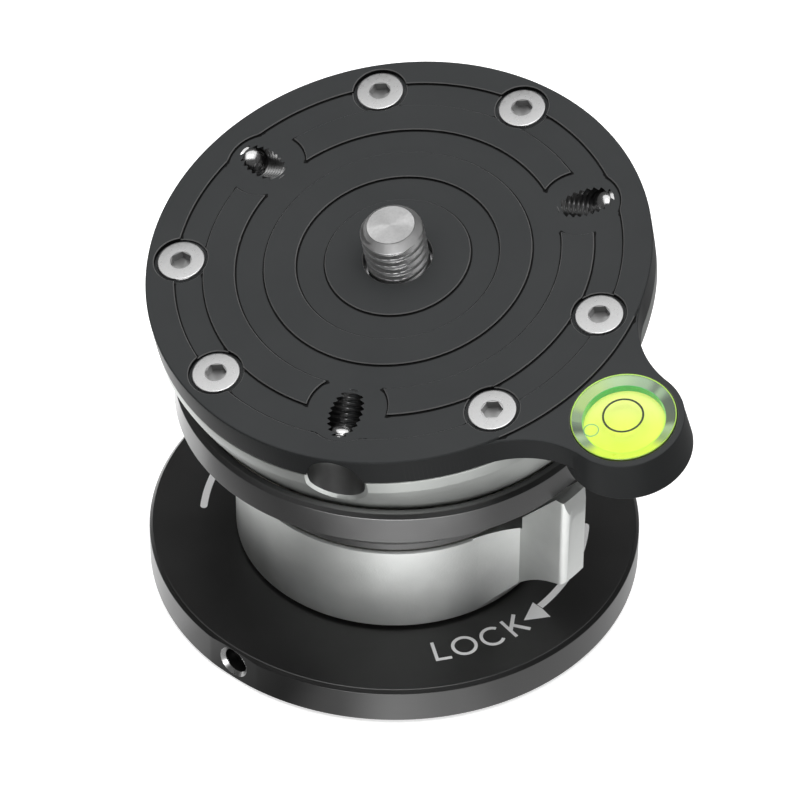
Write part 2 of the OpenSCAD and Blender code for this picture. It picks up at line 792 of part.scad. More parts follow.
module head_plate() {
    ear_t = plate_t - ring_recess;
    bore_floor = ear_t + plate_screw_proud - plate_screw_head_h;
    retainer_hole_l = retainer_screw_l - retainer_t + hole_over_screw;
    color([0.2, 0.2, 0.21])
        in_head()
            difference() {
                union() {
                    translate([0, 0, plate_bottom]) linear_extrude(ear_t) plate_outline();
                    ear();
                    translate([0, 0, plate_bottom + ear_t])
                        cylinder(r = plate_r, h = ring_recess - plate_chamfer);
                    translate([0, 0, plate_top - plate_chamfer])
                        cylinder(r1 = plate_r, r2 = plate_r - plate_chamfer, h = plate_chamfer);
                }
                // recessed rings and the pockets round the set screws
                translate([0, 0, plate_top - ring_recess]) {
                    for (r = recess_r) flat_ring(r, r + recess_w, ring_recess + 1);
                    for (a = set_screw_az)
                        rotate([0, 0, a])
                            translate([slot_pocket_at, 0, 0])
                                cylinder(r = slot_pocket_r, h = ring_recess + 1);
                }
                // stud hole and the pocket for its hexagonal flange
                translate([0, 0, plate_bottom - 1]) cylinder(r = stud_r + stud_clearance, h = plate_t + 2);
                translate([0, 0, plate_bottom - 1])
                    cylinder(r = (stud_flange_af + 2 * seat_gap) / sqrt(3), h = stud_flange_t + 1, $fn = 6);
                for (k = [0:2])
                    rotate([0, 0, first_retainer_az + k * retainer_step])
                        translate([retainer_circle_r, 0, plate_bottom - 1])
                            cylinder(r = retainer_screw_r + seat_gap / 2, h = retainer_hole_l + 1);
                // plate screws
                for (a = plate_screw_az)
                    rotate([0, 0, a])
                        translate([plate_screw_circle_r, 0, plate_bottom - 1]) {
                            cylinder(r = plate_screw_r + seat_gap, h = plate_t + 2);
                            translate([0, 0, bore_floor + 1])
                                cylinder(r = plate_screw_head_r + counterbore_gap, h = plate_t);
                        }
                set_screw_cuts(running_gap);
                // vial pocket
                translate([ear_centre[0], ear_centre[1], vial_z]) cylinder(r = vial_pocket_r, h = plate_t);
            }
}

module plate_screws() {
    top_z = plate_top - ring_recess + plate_screw_proud;
    shank_l = top_z - plate_screw_head_h - plate_bottom + plate_screw_l - hole_over_screw;
    color("silver")
        in_head()
            for (a = plate_screw_az)
                rotate([0, 0, a])
                    translate([plate_screw_circle_r, 0, top_z])
                        cap_screw(plate_screw_r, plate_screw_head_r, plate_screw_head_h, shank_l,
                            plate_screw_hex);
}

module camera_stud() {
    wall_z = plate_top + 0.1;
    color("silver")
        in_head()
            union() {
                translate([0, 0, plate_bottom])
                    cylinder(r = stud_flange_af / sqrt(3), h = stud_flange_t - seat_gap, $fn = 6);
                translate([0, 0, plate_bottom])
                    cylinder(r = stud_r - stud_relief, h = plate_t + stud_h / 2);
                translate([0, 0, wall_z])
                    cylinder(r = stud_r, h = plate_top + stud_h - stud_chamfer - wall_z);
                translate([0, 0, plate_top + stud_h - stud_chamfer])
                    cylinder(r1 = stud_r, r2 = stud_r - stud_chamfer, h = stud_chamfer);
            }
}

module at_retainer_screws() {
    for (k = [0:2])
        rotate([0, 0, first_retainer_az + k * retainer_step])
            translate([retainer_circle_r, 0, plate_bottom - retainer_t])
                rotate([180, 0, 0])
                    children();
}

module stud_retainer() {
    color([0.45, 0.46, 0.47])
        in_head()
            difference() {
                translate([0, 0, plate_bottom - retainer_t]) cylinder(r = retainer_r, h = retainer_t);
                at_retainer_screws() {
                    translate([0, 0, -retainer_t - 1])
                        cylinder(r = retainer_screw_r + seat_gap, h = retainer_t + 2);
                    translate([0, 0, -retainer_screw_r])
                        cylinder(r1 = retainer_screw_r + seat_gap, r2 = 2 * retainer_screw_r + seat_gap,
                            h = retainer_screw_r + eps);
                }
            }
}

module retainer_screws() {
    color("silver")
        in_head()
            at_retainer_screws()
                flat_screw(retainer_screw_r, 2 * retainer_screw_r, retainer_screw_l, retainer_screw_hex);
}

module head_set_screw(k) {
    point = 0.75;
    socket_depth = 2;
    color("silver")
        in_head()
            on_set_screw(set_screw_az[k])
                translate([0, 0, -set_screw_start])
                    set_screw(set_screw_r, set_screw_l, point, set_screw_hex, socket_depth);
}

module in_vial() {
    in_head()
        translate([ear_centre[0], ear_centre[1], vial_z])
            children();
}

module vial_body() {
    rim = 0.35;
    color([0.85, 0.95, 0.8, 0.5])
        in_vial()
            difference() {
                union() {
                    cylinder(r = vial_r, h = vial_h - rim);
                    translate([0, 0, vial_h - rim]) cylinder(r1 = vial_r, r2 = vial_r - rim, h = rim);
                }
                translate([0, 0, -eps])
                    cylinder(r = liquid_r + seat_gap / 2, h = backing_t + liquid_h + eps);
            }
}

module vial_liquid() {
    color([0.85, 1, 0.25])
        in_vial()
            translate([0, 0, backing_t]) cylinder(r = liquid_r, h = liquid_h);
}

module vial_backing() {
    color([0.95, 1, 0.6])
        in_vial()
            cylinder(r = liquid_r, h = backing_t);
}

base_plate();
base_bushing();
base_screws();
stop_pin();
base_set_screw();
ball_housing();
lower_lever_washer();
upper_lever_washer();
lever_ring();
clamp_bolt();
cross_pin();
clamp_washer();
spring_washer();
clamp_nut();
seat_liner();
half_ball();
head_plate();
plate_screws();
camera_stud();
stud_retainer();
retainer_screws();
head_set_screw(0);  // head_set_screw_1
head_set_screw(1);  // head_set_screw_2
head_set_screw(2);  // head_set_screw_3
vial_body();
vial_liquid();
vial_backing();
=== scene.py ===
"""Looks of the half-ball leveling base: finishes, machined edges, threads, bubble vial and printed marks."""

import json
from math import acos, asin, atan2, copysign, cos, degrees, hypot, inf, pi, radians, sin, sqrt

import bmesh
import bpy
from mathutils import Matrix, Vector
from mathutils.geometry import delaunay_2d_cdt
from mathutils.kdtree import KDTree


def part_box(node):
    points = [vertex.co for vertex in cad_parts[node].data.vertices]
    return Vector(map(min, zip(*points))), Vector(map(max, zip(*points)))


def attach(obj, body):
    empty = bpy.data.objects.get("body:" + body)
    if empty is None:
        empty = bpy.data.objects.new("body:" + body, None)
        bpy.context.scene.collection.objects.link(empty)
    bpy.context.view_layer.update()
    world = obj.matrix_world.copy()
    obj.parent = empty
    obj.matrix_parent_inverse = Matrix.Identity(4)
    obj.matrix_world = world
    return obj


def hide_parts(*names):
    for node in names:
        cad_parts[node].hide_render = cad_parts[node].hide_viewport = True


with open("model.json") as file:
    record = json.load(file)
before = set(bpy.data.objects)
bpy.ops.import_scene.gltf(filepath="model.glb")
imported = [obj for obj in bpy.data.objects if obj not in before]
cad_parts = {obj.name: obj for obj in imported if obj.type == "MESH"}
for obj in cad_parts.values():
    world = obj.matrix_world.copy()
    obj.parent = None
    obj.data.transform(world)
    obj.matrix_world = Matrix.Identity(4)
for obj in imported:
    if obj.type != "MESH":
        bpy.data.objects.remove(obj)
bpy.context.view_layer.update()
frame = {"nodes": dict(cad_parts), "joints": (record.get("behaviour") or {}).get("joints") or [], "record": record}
scene = bpy.context.scene
MM = 0.001
TAU = 2 * pi
record = frame["record"]
joints = {j["name"]: j for j in frame["joints"]}
mounts = {m["name"]: m for m in record["mounts"]}

# The head's own frame: origin at the ball's centre, +Z along the camera stud, +X from the set screws
first_set_screw_az = radians(15)
pivot = Vector(joints["head_tilt"]["pos_m"]) / MM
head_z = Vector(mounts["camera_stud"]["axis"]).normalized()
inward = Vector(joints["head_screw_1_travel"]["axis"])
spoke = -(inward - inward.dot(head_z) * head_z).normalized()
head_x = Matrix.Rotation(-first_set_screw_az, 3, head_z) @ spoke
HEAD = Matrix.Translation(pivot) @ Matrix((head_x, head_z.cross(head_x), head_z)).transposed().to_4x4()
WORLD = Matrix.Identity(4)

# Sizes in millimetres
base_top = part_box("base_plate")[1].z / MM
base_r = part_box("base_plate")[1].x / MM
collar_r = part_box("ball_housing")[1].x / MM
collar_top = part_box("ball_housing")[1].z / MM
ball_r = 38.55
ball_rim_r = 37.45
plate_top = -1.9
plate_t = 5.1
plate_bottom = plate_top - plate_t
plate_r = 37.5
plate_round = 0.3
ring_recess = 0.4
fine_edge = 0.13
# width of the strip of painted shade at the foot of each step
shade_line = 0.23
rim_screw_z = 3.5
set_screw_at = 28.2
set_screw_slope = radians(35)
set_screw_start = 2.6
set_screw_az = [first_set_screw_az + k * TAU / 3 for k in range(3)]
access_r = 4.3
access_lift = 0.45
access_start = 7.8
screw_circle_r = 32.4
screw_head_r = 3.6
screw_head_h = 2.2
screw_proud = 0.2
screw_seat_r = screw_head_r + 0.45
screw_seat_down = 0.45
screw_step = radians(40)
screw_az = [a + s * screw_step for a in set_screw_az for s in (-1, 1)]
vial_at = 45.9
vial_az = radians(-45)
vial_centre = Vector((vial_at * cos(vial_az), vial_at * sin(vial_az)))
vial_gap = 0.04
ear_r = 8.75
ear_foot_r = 9.35
ear_drop = 2.35
ear_fillet_r = 15.0
vial_r = 7.65
vial_h = 4.2
vial_z = plate_top - vial_h
stud_r = 4.76
stud_h = 7.3
stud_gap = 0.4
thread_pitch = 0.8
thread_root_r = 2.1
flat_slope = 0.95
rim_screw_az = radians(-130)
film = 0.02


# Meshes: every piece is built in millimetres in its own frame
def move(x, y, z):
    return Matrix.Translation((x, y, z))


def on_set_screw(az):
    """Frame of a set screw: origin on the plate's top face, +Z inward and up, the way the screw points."""
    tip_up = Matrix.Rotation(set_screw_slope - pi / 2, 4, "Y")
    return HEAD @ Matrix.Rotation(az, 4, "Z") @ move(set_screw_at, 0, plate_top) @ tip_up


to_set_screws = [on_set_screw(az).inverted() @ HEAD for az in set_screw_az]


def from_access_axis(p):
    """Distance of a point in a set screw's frame from the axis of the driver's access hole."""
    return hypot(p.x - access_lift, p.y)


def in_scene(name, data):
    """A new object of the scene with its mesh, lamp or camera."""
    obj = bpy.data.objects.new(name, data)
    scene.collection.objects.link(obj)
    return obj


def new_object(name, verts, faces, at=WORLD):
    """An object whose frame is at, with its mesh given in millimetres in that frame."""
    mesh = bpy.data.meshes.new(name)
    mesh.from_pydata([Vector(v) * MM for v in verts], [], faces)
    mesh.validate()
    obj = in_scene(name, mesh)
    place = at.copy()
    place.translation = at.translation * MM
    obj.matrix_world = place
    return obj


def cleaned(obj, near=1e-8, turned=True):
    """Joins points within near metres of each other and, when turned, faces a closed mesh outward."""
    bm = bmesh.new()
    bm.from_mesh(obj.data)
    bmesh.ops.remove_doubles(bm, verts=bm.verts, dist=near)
    if turned:
        bmesh.ops.recalc_face_normals(bm, faces=bm.faces)
    bm.to_mesh(obj.data)
    bm.free()
    return obj


def ellipse(cx, cy, rx, ry, a0, a1, n):
    """Points on an ellipse from angle a0 to a1 in degrees, ends included."""
    angles = [radians(a0 + (a1 - a0) * k / n) for k in range(n + 1)]
    return [(cx + rx * cos(a), cy + ry * sin(a)) for a in angles]


def arc(cx, cy, r, a0, a1, n):
    return ellipse(cx, cy, r, r, a0, a1, n)


def circle(cx, cy, r, n):
    return arc(cx, cy, r, 0, 360 * (n - 1) / n, n - 1)


def polar(r, az):
    return r * cos(az), r * sin(az)


def rounded(points, sizes, n=4):
    """A closed profile with each corner rounded by its size, 0 for sharp."""
    out = []
    for k, (p, size) in enumerate(zip(points, sizes)):
        if not size:
            out.append(tuple(p))
            continue
        before, here, after = (Vector(points[(k + d) % len(points)]) for d in (-1, 0, 1))
        start = here + (before - here).normalized() * size
        end = here + (after - here).normalized() * size
        for i in range(n + 1):
            q = start.lerp(here, i / n).lerp(here.lerp(end, i / n), i / n)
            out.append((q.x, q.y))
    return out


def lathe(name, profile, at=WORLD, segs=192):
    """A closed profile of (r, z) points turned about Z. Points at r = 0 are one point."""
    verts, rings = [], []
    for r, z in profile:
        if r < 1e-9:
            rings.append([len(verts)] * segs)
            verts.append((0, 0, z))
            continue
        rings.append(list(range(len(verts), len(verts) + segs)))
        verts += [(*polar(r, TAU * k / segs), z) for k in range(segs)]
    faces = []
    for a, b in zip(rings, rings[1:] + rings[:1]):
        for k in range(segs):
            j = (k + 1) % segs
            corners = [a[k], a[j], b[j], b[k]]
            face = [c for i, c in enumerate(corners) if c != corners[i - 1]]
            if len(set(face)) > 2:
                faces.append(face)
    return cleaned(new_object(name, verts, faces, at))


def rod(name, r, z0, z1, at=WORLD, segs=96):
    return lathe(name, [(0, z0), (r, z0), (r, z1), (0, z1)], at, segs)


def prism(name, outline, z0, z1, at=WORLD):
    """A straight prism over an outline of (x, y) points."""
    n = len(outline)
    verts = [(x, y, z) for z in (z0, z1) for x, y in outline]
    faces = [list(range(n))[::-1], list(range(n, 2 * n))]
    faces += [[k, (k + 1) % n, n + (k + 1) % n, n + k] for k in range(n)]
    return cleaned(new_object(name, verts, faces, at))


def hexagon(af):
    """A hexagon by its size across the flats."""
    return circle(0, 0, af / sqrt(3), 6)


def tube_faces(rows, segs):
    """Faces between neighbouring rows of segs points each."""
    faces = []
    for i in range(rows - 1):
        for k in range(segs):
            j = (k + 1) % segs
            faces.append([i * segs + k, i * segs + j, (i + 1) * segs + j, (i + 1) * segs + k])
    return faces


def threaded(name, r_root, r_crest, pitch, z0, z1, at, crest=0.12, root=0.12, segs=48, rows=8, limit=None):
    """A closed rod with a right-hand helical thread. crest and root are flat shares of the pitch."""
    flank = (1 - crest - root) / 2
    steps = [(crest / 2, 1, 1), (flank, 1, 0), (root, 0, 0), (flank, 0, 1), (crest / 2, 1, 1)]

    def radius(phase):
        phase = phase % 1
        for width, start, end in steps:
            if phase <= width:
                return r_root + (r_crest - r_root) * (start + (end - start) * phase / width)
            phase -= width
        return r_crest

    levels = max(2, round((z1 - z0) / pitch * rows))
    verts = []
    for i in range(levels + 1):
        z = z0 + (z1 - z0) * i / levels
        for k in range(segs):
            r = radius(z / pitch - k / segs)
            if limit:
                r = min(r, limit(z))
            verts.append((*polar(r, TAU * k / segs), z))
    ends = [list(range(segs))[::-1], list(range(levels * segs, (levels + 1) * segs))]
    return cleaned(new_object(name, verts, tube_faces(levels + 1, segs) + ends, at))


def merge(obj, *others):
    """Adds the other objects' meshes to obj and removes them."""
    bpy.context.view_layer.update()
    bm = bmesh.new()
    bm.from_mesh(obj.data)
    for other in others:
        other.data.transform(obj.matrix_world.inverted() @ other.matrix_world)
        bm.from_mesh(other.data)
        bpy.data.objects.remove(other)
    bm.to_mesh(obj.data)
    bm.free()
    return obj


def bake(obj):
    """Turns the modifiers' result into the mesh."""
    bpy.context.view_layer.update()
    evaluated = obj.evaluated_get(bpy.context.evaluated_depsgraph_get())
    mesh = bpy.data.meshes.new_from_object(evaluated)
    obj.modifiers.clear()
    obj.data = mesh
    return obj


def combine(obj, operation, *others):
    """Cuts each other solid out of obj, or joins it to obj, and removes it."""
    for other in others:
        m = obj.modifiers.new("combine", "BOOLEAN")
        m.operation, m.solver, m.object = operation, "MANIFOLD", other
        bake(obj)
        bpy.data.objects.remove(other)
    return obj


def cut(obj, *cutters):
    return combine(obj, "DIFFERENCE", *cutters)


def smooth(obj, angle=30):
    """Smooth shading that keeps flats flat and edges above an angle in degrees sharp."""
    obj.data.polygons.foreach_set("use_smooth", [True] * len(obj.data.polygons))
    obj.data.set_sharp_from_angle(angle=radians(angle))
    m = obj.modifiers.new("flats", "WEIGHTED_NORMAL")
    m.keep_sharp = True
    return obj


# Materials
class Nodes:
    """Builds the nodes of a material or a world."""

    def __init__(self, owner, output="ShaderNodeOutputMaterial", place="Object"):
        self.owner = owner
        owner.use_nodes = True
        self.tree = owner.node_tree
        self.tree.nodes.clear()
        self.out = self.add(output)
        self.place = self.add("ShaderNodeTexCoord").outputs[place]

    def add(self, kind, **settings):
        node = self.tree.nodes.new(kind)
        for key, value in settings.items():
            setattr(node, key, value)
        return node

    def link(self, a, b):
        self.tree.links.new(a, b)

    def shader(self, kind, **values):
        """A shader with constants on its sockets."""
        node = self.add(kind)
        for key, value in values.items():
            node.inputs[key.replace("_", " ")].default_value = value
        return node

    def noise(self, scale, detail=3.0, rough=0.6):
        n = self.shader("ShaderNodeTexNoise", Scale=scale, Detail=detail, Roughness=rough)
        self.link(self.place, n.inputs["Vector"])
        return n.outputs["Fac"]

    def ramp(self, fac, stops, smooth_steps=False):
        r = self.add("ShaderNodeValToRGB")
        r.color_ramp.interpolation = "EASE" if smooth_steps else "LINEAR"
        e = r.color_ramp.elements
        while len(e) < len(stops):
            e.new(0.5)
        for item, (pos, col) in zip(e, stops):
            item.position = pos
            item.color = (*col, 1)
        self.link(fac, r.inputs["Fac"])
        return r.outputs["Color"]

    def spread(self, fac, low, high, start=0.3, end=0.7):
        """The part of fac from start to end, stretched from low to high."""
        m = self.shader("ShaderNodeMapRange", From_Min=start, From_Max=end, To_Min=low, To_Max=high)
        self.link(fac, m.inputs["Value"])
        return m.outputs["Result"]

    def bump(self, height, distance):
        b = self.shader("ShaderNodeBump", Distance=distance)
        self.link(height, b.inputs["Height"])
        return b.outputs["Normal"]

    def mix(self, share, first, second):
        """Two shaders mixed by a socket or a number: 0 gives the first and 1 the second."""
        m = self.add("ShaderNodeMixShader")
        if isinstance(share, float):
            m.inputs[0].default_value = share
        else:
            self.link(share, m.inputs[0])
        self.link(first.outputs[0], m.inputs[1])
        self.link(second.outputs[0], m.inputs[2])
        return m

    def principled(self, colour, roughness, normal, **values):
        p = self.shader("ShaderNodeBsdfPrincipled", **values)
        self.link(colour, p.inputs["Base Color"])
        self.link(roughness, p.inputs["Roughness"])
        if normal is not None:
            self.link(normal, p.inputs["Normal"])
        return p

    def surface(self, shader):
        self.link(shader.outputs[0], self.out.inputs["Surface"])
        return self.owner


def material_nodes(name):
    return Nodes(bpy.data.materials.new(name))


def finish(name, dark, light, roughness, grain, depth, cloud=60, swing=0.04, **values):
    """A surface with a cloudy colour, a gloss that varies by swing and a fine grain."""
    f = material_nodes(name)
    patches = f.noise(cloud, 4)
    fine = f.noise(grain, 3, 0.65)
    colour = f.ramp(patches, [(0.3, dark), (0.7, light)])
    gloss = f.spread(patches, roughness - swing, roughness + swing)
    return f.surface(f.principled(colour, gloss, f.bump(fine, depth), **values))


def grey(v):
    return (v, v, v)


# Each look: dark and light colour, roughness, scale and depth of the grain, and what else differs
metal = {"Metallic": 1.0}
looks = {
    "plate_charcoal": ((0.037, 0.039, 0.040), (0.042, 0.044, 0.045), 0.45, 5000, 4e-6,
                       {"swing": 0.03, "Specular_IOR_Level": 0.1}),
    # Painted shade: a near-black copy of the plate for its steps' walls and the strips at their feet
    "plate_painted_shade": (grey(0.008), grey(0.010), 0.5, 5000, 4e-6, {"Specular_IOR_Level": 0.05}),
    # Painted highlight: a lighter copy of the plate for its eased edges on top
    "plate_painted_sheen": (grey(0.10), grey(0.12), 0.4, 5000, 2e-6, {"Specular_IOR_Level": 0.3}),
    "base_black": (grey(0.09), grey(0.10), 0.34, 4000, 3e-6, {"Metallic": 0.95}),
    "housing_grey": (grey(0.16), grey(0.18), 0.36, 3500, 5e-6, {"Metallic": 0.95}),
    "bead_blasted": ((0.75, 0.77, 0.75), (0.89, 0.905, 0.89), 0.48, 2600, 3.2e-5, metal),
    # Painted shade: a darker copy of the blasted aluminium, for the half ball under the plate
    "fine_blasted": ((0.42, 0.435, 0.42), (0.51, 0.525, 0.51), 0.42, 2600, 2.4e-5, metal),
    "steel": (grey(0.70), grey(0.80), 0.3, 1800, 5e-6, {"cloud": 900, "swing": 0.05, **metal}),
    "polished": (grey(0.78), grey(0.88), 0.2, 1500, 4e-6, {"cloud": 700, **metal}),
    # The access bores: a smoother metal, darker as painted shade inside the holes
    "bored_painted_shade": (grey(0.33), grey(0.39), 0.38, 1500, 4e-6, {"cloud": 300, **metal}),
    # Painted shade: a darker steel for inside the plate screws' hex sockets
    "socket": (grey(0.42), grey(0.50), 0.34, 1500, 4e-6, {"cloud": 300, **metal}),
    # The stud's thread: rougher than its turned tip, and brighter, a painted highlight on the crests
    "thread": (grey(0.84), grey(0.92), 0.48, 1500, 6e-6, {"cloud": 300, **metal}),
    # A dark grey metal for the set screws' threaded and access holes in the plate, lighter than the plate
    "hole_grey_metal": (grey(0.13), grey(0.17), 0.3, 1500, 6e-6, {"cloud": 700, **metal}),
    "black_steel": (grey(0.012), grey(0.02), 0.35, 2000, 4e-6, {"Metallic": 0.3}),
    "nylon": ((0.58, 0.56, 0.49), (0.66, 0.64, 0.57), 0.5, 1500, 5e-6, {}),
    "brass": ((0.6, 0.42, 0.17), (0.75, 0.55, 0.25), 0.3, 1800, 6e-6, {"cloud": 300, **metal}),
    "vial_green": ((0.5, 0.8, 0.05), (0.6, 0.95, 0.08), 0.3, 600, 1e-6, {}),
    "vial_base": ((0.6, 0.9, 0.12), (0.72, 1.0, 0.2), 0.3, 600, 1e-6, {}),
    "acrylic": ((0.5, 0.55, 0.45), (0.55, 0.6, 0.5), 0.2, 600, 1e-6, {}),
    "print_white": (grey(0.70), grey(0.78), 0.5, 3000, 2e-6, {}),
    # Painted shade: the bubble's edge as a darker green ring
    "bubble_rim_painted_shade": ((0.10, 0.42, 0.22), (0.16, 0.5, 0.3), 0.3, 800, 1e-6, {}),
    "ink": ((0.006, 0.02, 0.002), (0.01, 0.03, 0.004), 0.6, 800, 1e-6, {"Specular_IOR_Level": 0.1}),
}
materials = {name: finish(name, *look[:-1], **look[-1]) for name, look in looks.items()}


def dress(obj, material):
    obj.data.materials.clear()
    obj.data.materials.append(material)
    return obj


def own(obj, slot, body, *nodes, material=None):
    """A piece with its finish, the slot's own unless material says another, that rides on a body."""
    dress(obj, material or materials[slot])
    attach(obj, body)
    if nodes:
        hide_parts(*nodes)
    return obj


def dress_part(obj, look, chosen):
    """Gives the chosen faces, of those with the piece's main finish, one of their own."""
    obj.data.materials.append(materials[look])
    index = len(obj.data.materials) - 1
    for face in obj.data.polygons:
        if face.material_index == 0 and chosen(face):
            face.material_index = index


for part in record["subparts"]:
    dress(frame["nodes"][part["node"]], materials[part["material_slot"]])


# Base: a turned disc with soft-edged chamfers, a milled flat and the rim hole's bright chamfer
def on_rim_screw(out):
    """Frame of the rim's screw hole: origin out below the rim, +Z outward."""
    turn = Matrix.Rotation(rim_screw_az, 4, "Z")
    return turn @ move(base_r - out, 0, rim_screw_z) @ Matrix.Rotation(pi / 2, 4, "Y")


def make_base_plate():
    chamfer, soft, floor_t, spigot_r, bush_r = 0.57, 0.12, 2.4, 19.04, 8.04
    flat_depth, half, past = 0.25, 6.5, 4
    hole_r, hole_l, mouth = 2.06, 19, 0.55
    skin, ring_t = 0.015, 0.02
    corners = [
        (bush_r, 0), (base_r - chamfer, 0), (base_r, chamfer), (base_r, base_top - chamfer),
        (base_r - chamfer, base_top), (spigot_r, base_top), (spigot_r, floor_t), (bush_r, floor_t),
    ]
    body = lathe("base_plate_finish", rounded(corners, [0, soft, soft, soft, soft, 0, 0, 0]), segs=288)
    at = on_rim_screw(flat_depth)
    flat = prism("flat", [(-half, -half), (half, -half), (half, half), (-half, half)], 0, past, at)
    wide, end = hole_r + mouth, past + 1
    bore = [(0, -hole_l), (hole_r, -hole_l), (hole_r, -mouth), (wide, 0), (wide, end), (0, end)]
    cut(body, flat, lathe("bore", bore, at, 64))
    own(smooth(body), "base_black", "base", "base_plate")
    ring = [(hole_r, -mouth), (wide, 0), (wide - ring_t, skin), (hole_r - skin, -mouth)]
    own(smooth(lathe("rim_hole_chamfer", ring, at, 64)), "steel", "base")


# Housing: collar, cone and neck in one turning round the column, with the cup for the ball
def make_housing():
    floor_z, boss_z, neck_z, cone_z, collar_z = 2.4, 20.9, 22.72, 23.92, 33.02
    boss_r, column_r, neck_r, cone_r, shank_r = 8.06, 19, 24, 32.3, 4.3
    chamfer, soft, turned, keen = 0.6, 0.12, 0.1, 0.06
    lip_gap, cup_end = 0.3, -82
    lip_r = ball_r + lip_gap
    lip_drop = pivot.z - collar_top
    lip_edge = sqrt(lip_r ** 2 - lip_drop ** 2)
    low = degrees(asin(lip_drop / lip_r))
    cup = arc(0, pivot.z, lip_r, -low, cup_end, 48)
    corners = [
        (boss_r, floor_z), (column_r, floor_z), (column_r, neck_z), (neck_r, neck_z), (neck_r, cone_z),
        (cone_r, collar_z), (collar_r, collar_z), (collar_r, collar_top - chamfer),
        (collar_r - chamfer, collar_top), (lip_edge, collar_top),
    ]
    profile = rounded(corners, [0, 0, 0, turned, turned, turned, soft, soft, soft, keen]) + cup[1:]
    profile += [(shank_r, cup[-1][1]), (shank_r, boss_z), (boss_r, boss_z)]
    own(smooth(lathe("housing_finish", profile, segs=256)), "housing_grey", "base", "ball_housing")


# Half ball: turned sphere with a straight lip, and the drivers' access holes
def slope_rod(az, r, start, end, lift=0.0):
    return rod("slope_rod", r, start, end, on_set_screw(az) @ move(lift, 0, 0), 64)


def way_out(start, axis):
    """Distance from a point inside the half ball, against axis, to its surface."""
    near, far, halvings = 0.0, 40.0, 40
    for _ in range(halvings):
        mid = (near + far) / 2
        q = start - axis * mid
        inside = q.length < ball_r and hypot(q.x, q.y) < ball_rim_r
        near, far = (mid, far) if inside else (near, mid)
    return far


def flared_rod(az, r, chamfer):
    """A rod on a set screw's axis that widens where it comes out of the half ball, to chamfer the edge."""
    at = on_set_screw(az) @ move(access_lift, 0, 0)
    local = HEAD.inverted() @ at
    axis = local.to_3x3() @ Vector((0, 0, 1))
    segs, flare = 72, 3.0
    turns = [TAU * k / segs for k in range(segs)]
    exits = [-way_out(local @ Vector((*polar(r, t), 0)), axis) for t in turns]
    verts = [(*polar(r, t), -access_start) for t in turns]
    verts += [(*polar(r, t), z + chamfer) for t, z in zip(turns, exits)]
    verts += [(*polar(r + chamfer + flare, t), z - flare) for t, z in zip(turns, exits)]
    verts += [(0, 0, -access_start), (0, 0, sum(exits) / segs - flare)]
    faces = tube_faces(3, segs)
    for k in range(segs):
        j = (k + 1) % segs
        faces += [[k, j, 3 * segs], [2 * segs + k, 2 * segs + j, 3 * segs + 1]]
    return cleaned(new_object("flared_rod", verts, faces, at))


def make_half_ball():
    inner_r, bore_r, hole_r, soft, chamfer = 34.05, 27.5, 14.7, 0.3, 0.45
    bolt_r, bolt_l, slot_r, slot_top, into = 2.05, 8, 2.56, 12, 0.4
    near_wall = 0.03
    lip_z = -sqrt(ball_r ** 2 - ball_rim_r ** 2)

    def below(r, size):
        return -degrees(acos(r / size))

    profile = arc(0, 0, ball_r, below(hole_r, ball_r), below(ball_rim_r, ball_r), 96)
    rim = [(ball_rim_r, lip_z), (ball_rim_r, plate_bottom), (bore_r, plate_bottom)]
    profile += rounded(rim, [0, soft, 0], 3)[1:]
    profile += arc(0, 0, inner_r, below(bore_r, inner_r), below(hole_r, inner_r), 40)
    body = lathe("half_ball_finish", profile, HEAD, 288)
    on_bolts = [HEAD @ move(*polar(screw_circle_r, a), 0) for a in screw_az]
    bolts = [rod("bolt", bolt_r, plate_bottom - bolt_l, plate_bottom + 1, at, 32) for at in on_bolts]
    slots = [slope_rod(az, slot_r, -access_start - into, slot_top) for az in set_screw_az]
    access = [flared_rod(az, access_r, chamfer) for az in set_screw_az]
    cut(body, merge(*access), merge(*slots), merge(*bolts))
    # the half ball gets the darker copy of the blasted aluminium as painted shade
    own(smooth(body), "bead_blasted", "head", "half_ball", material=materials["fine_blasted"])

    def on_bore(face):
        spots = [to_screw @ (face.center / MM) for to_screw in to_set_screws]
        return any(p.z < -access_start and abs(from_access_axis(p) - access_r) < near_wall for p in spots)

    # the access bores are painted darker, as the shade inside them
    dress_part(body, "bored_painted_shade", on_bore)


# Head plate: a flat pattern of lands, recesses and holes, each at its height, with rounded rims
def ear_geometry():
    """Distance of the ear's fillet centres from the plate's, and their angle to either side of the vial."""
    a, b = plate_r + ear_fillet_r, ear_r + ear_fillet_r
    return a, acos((a * a + vial_at ** 2 - b * b) / (2 * vial_at * a))


def direction(v):
    return degrees(atan2(v.y, v.x))


def turn_between(start, end):
    return (end - start + 180) % 360 - 180


def swollen(spot, spot_r, az, a, fillet_r, swing, steps, round_steps):
    """Outline of a round spot on a bigger disc, from the first fillet round the spot to the second fillet."""
    points = []
    for side in (-1, 1):
        c = Vector(polar(a, az + side * swing))
        start = direction(-c)
        run = arc(c.x, c.y, fillet_r, start, start + turn_between(start, direction(spot - c)), steps)
        points += run if side < 0 else run[::-1]
        if side < 0:
            first = direction(Vector(run[-1]) - spot)
            last = 2 * degrees(az) - first
            points += arc(spot.x, spot.y, spot_r, first, first + (last - first) % 360, round_steps)[1:-1]
    return points


def plate_outline(inset):
    """The plate with its ear and fillets, moved inward by inset."""
    a, swing = ear_geometry()
    points = swollen(vial_centre, ear_r - inset, vial_az, a, ear_fillet_r + inset, swing, 28, 90)
    start = degrees(vial_az + swing)
    return points + arc(0, 0, plate_r - inset, start, start + 360 - 2 * degrees(swing), 310)[1:-1]


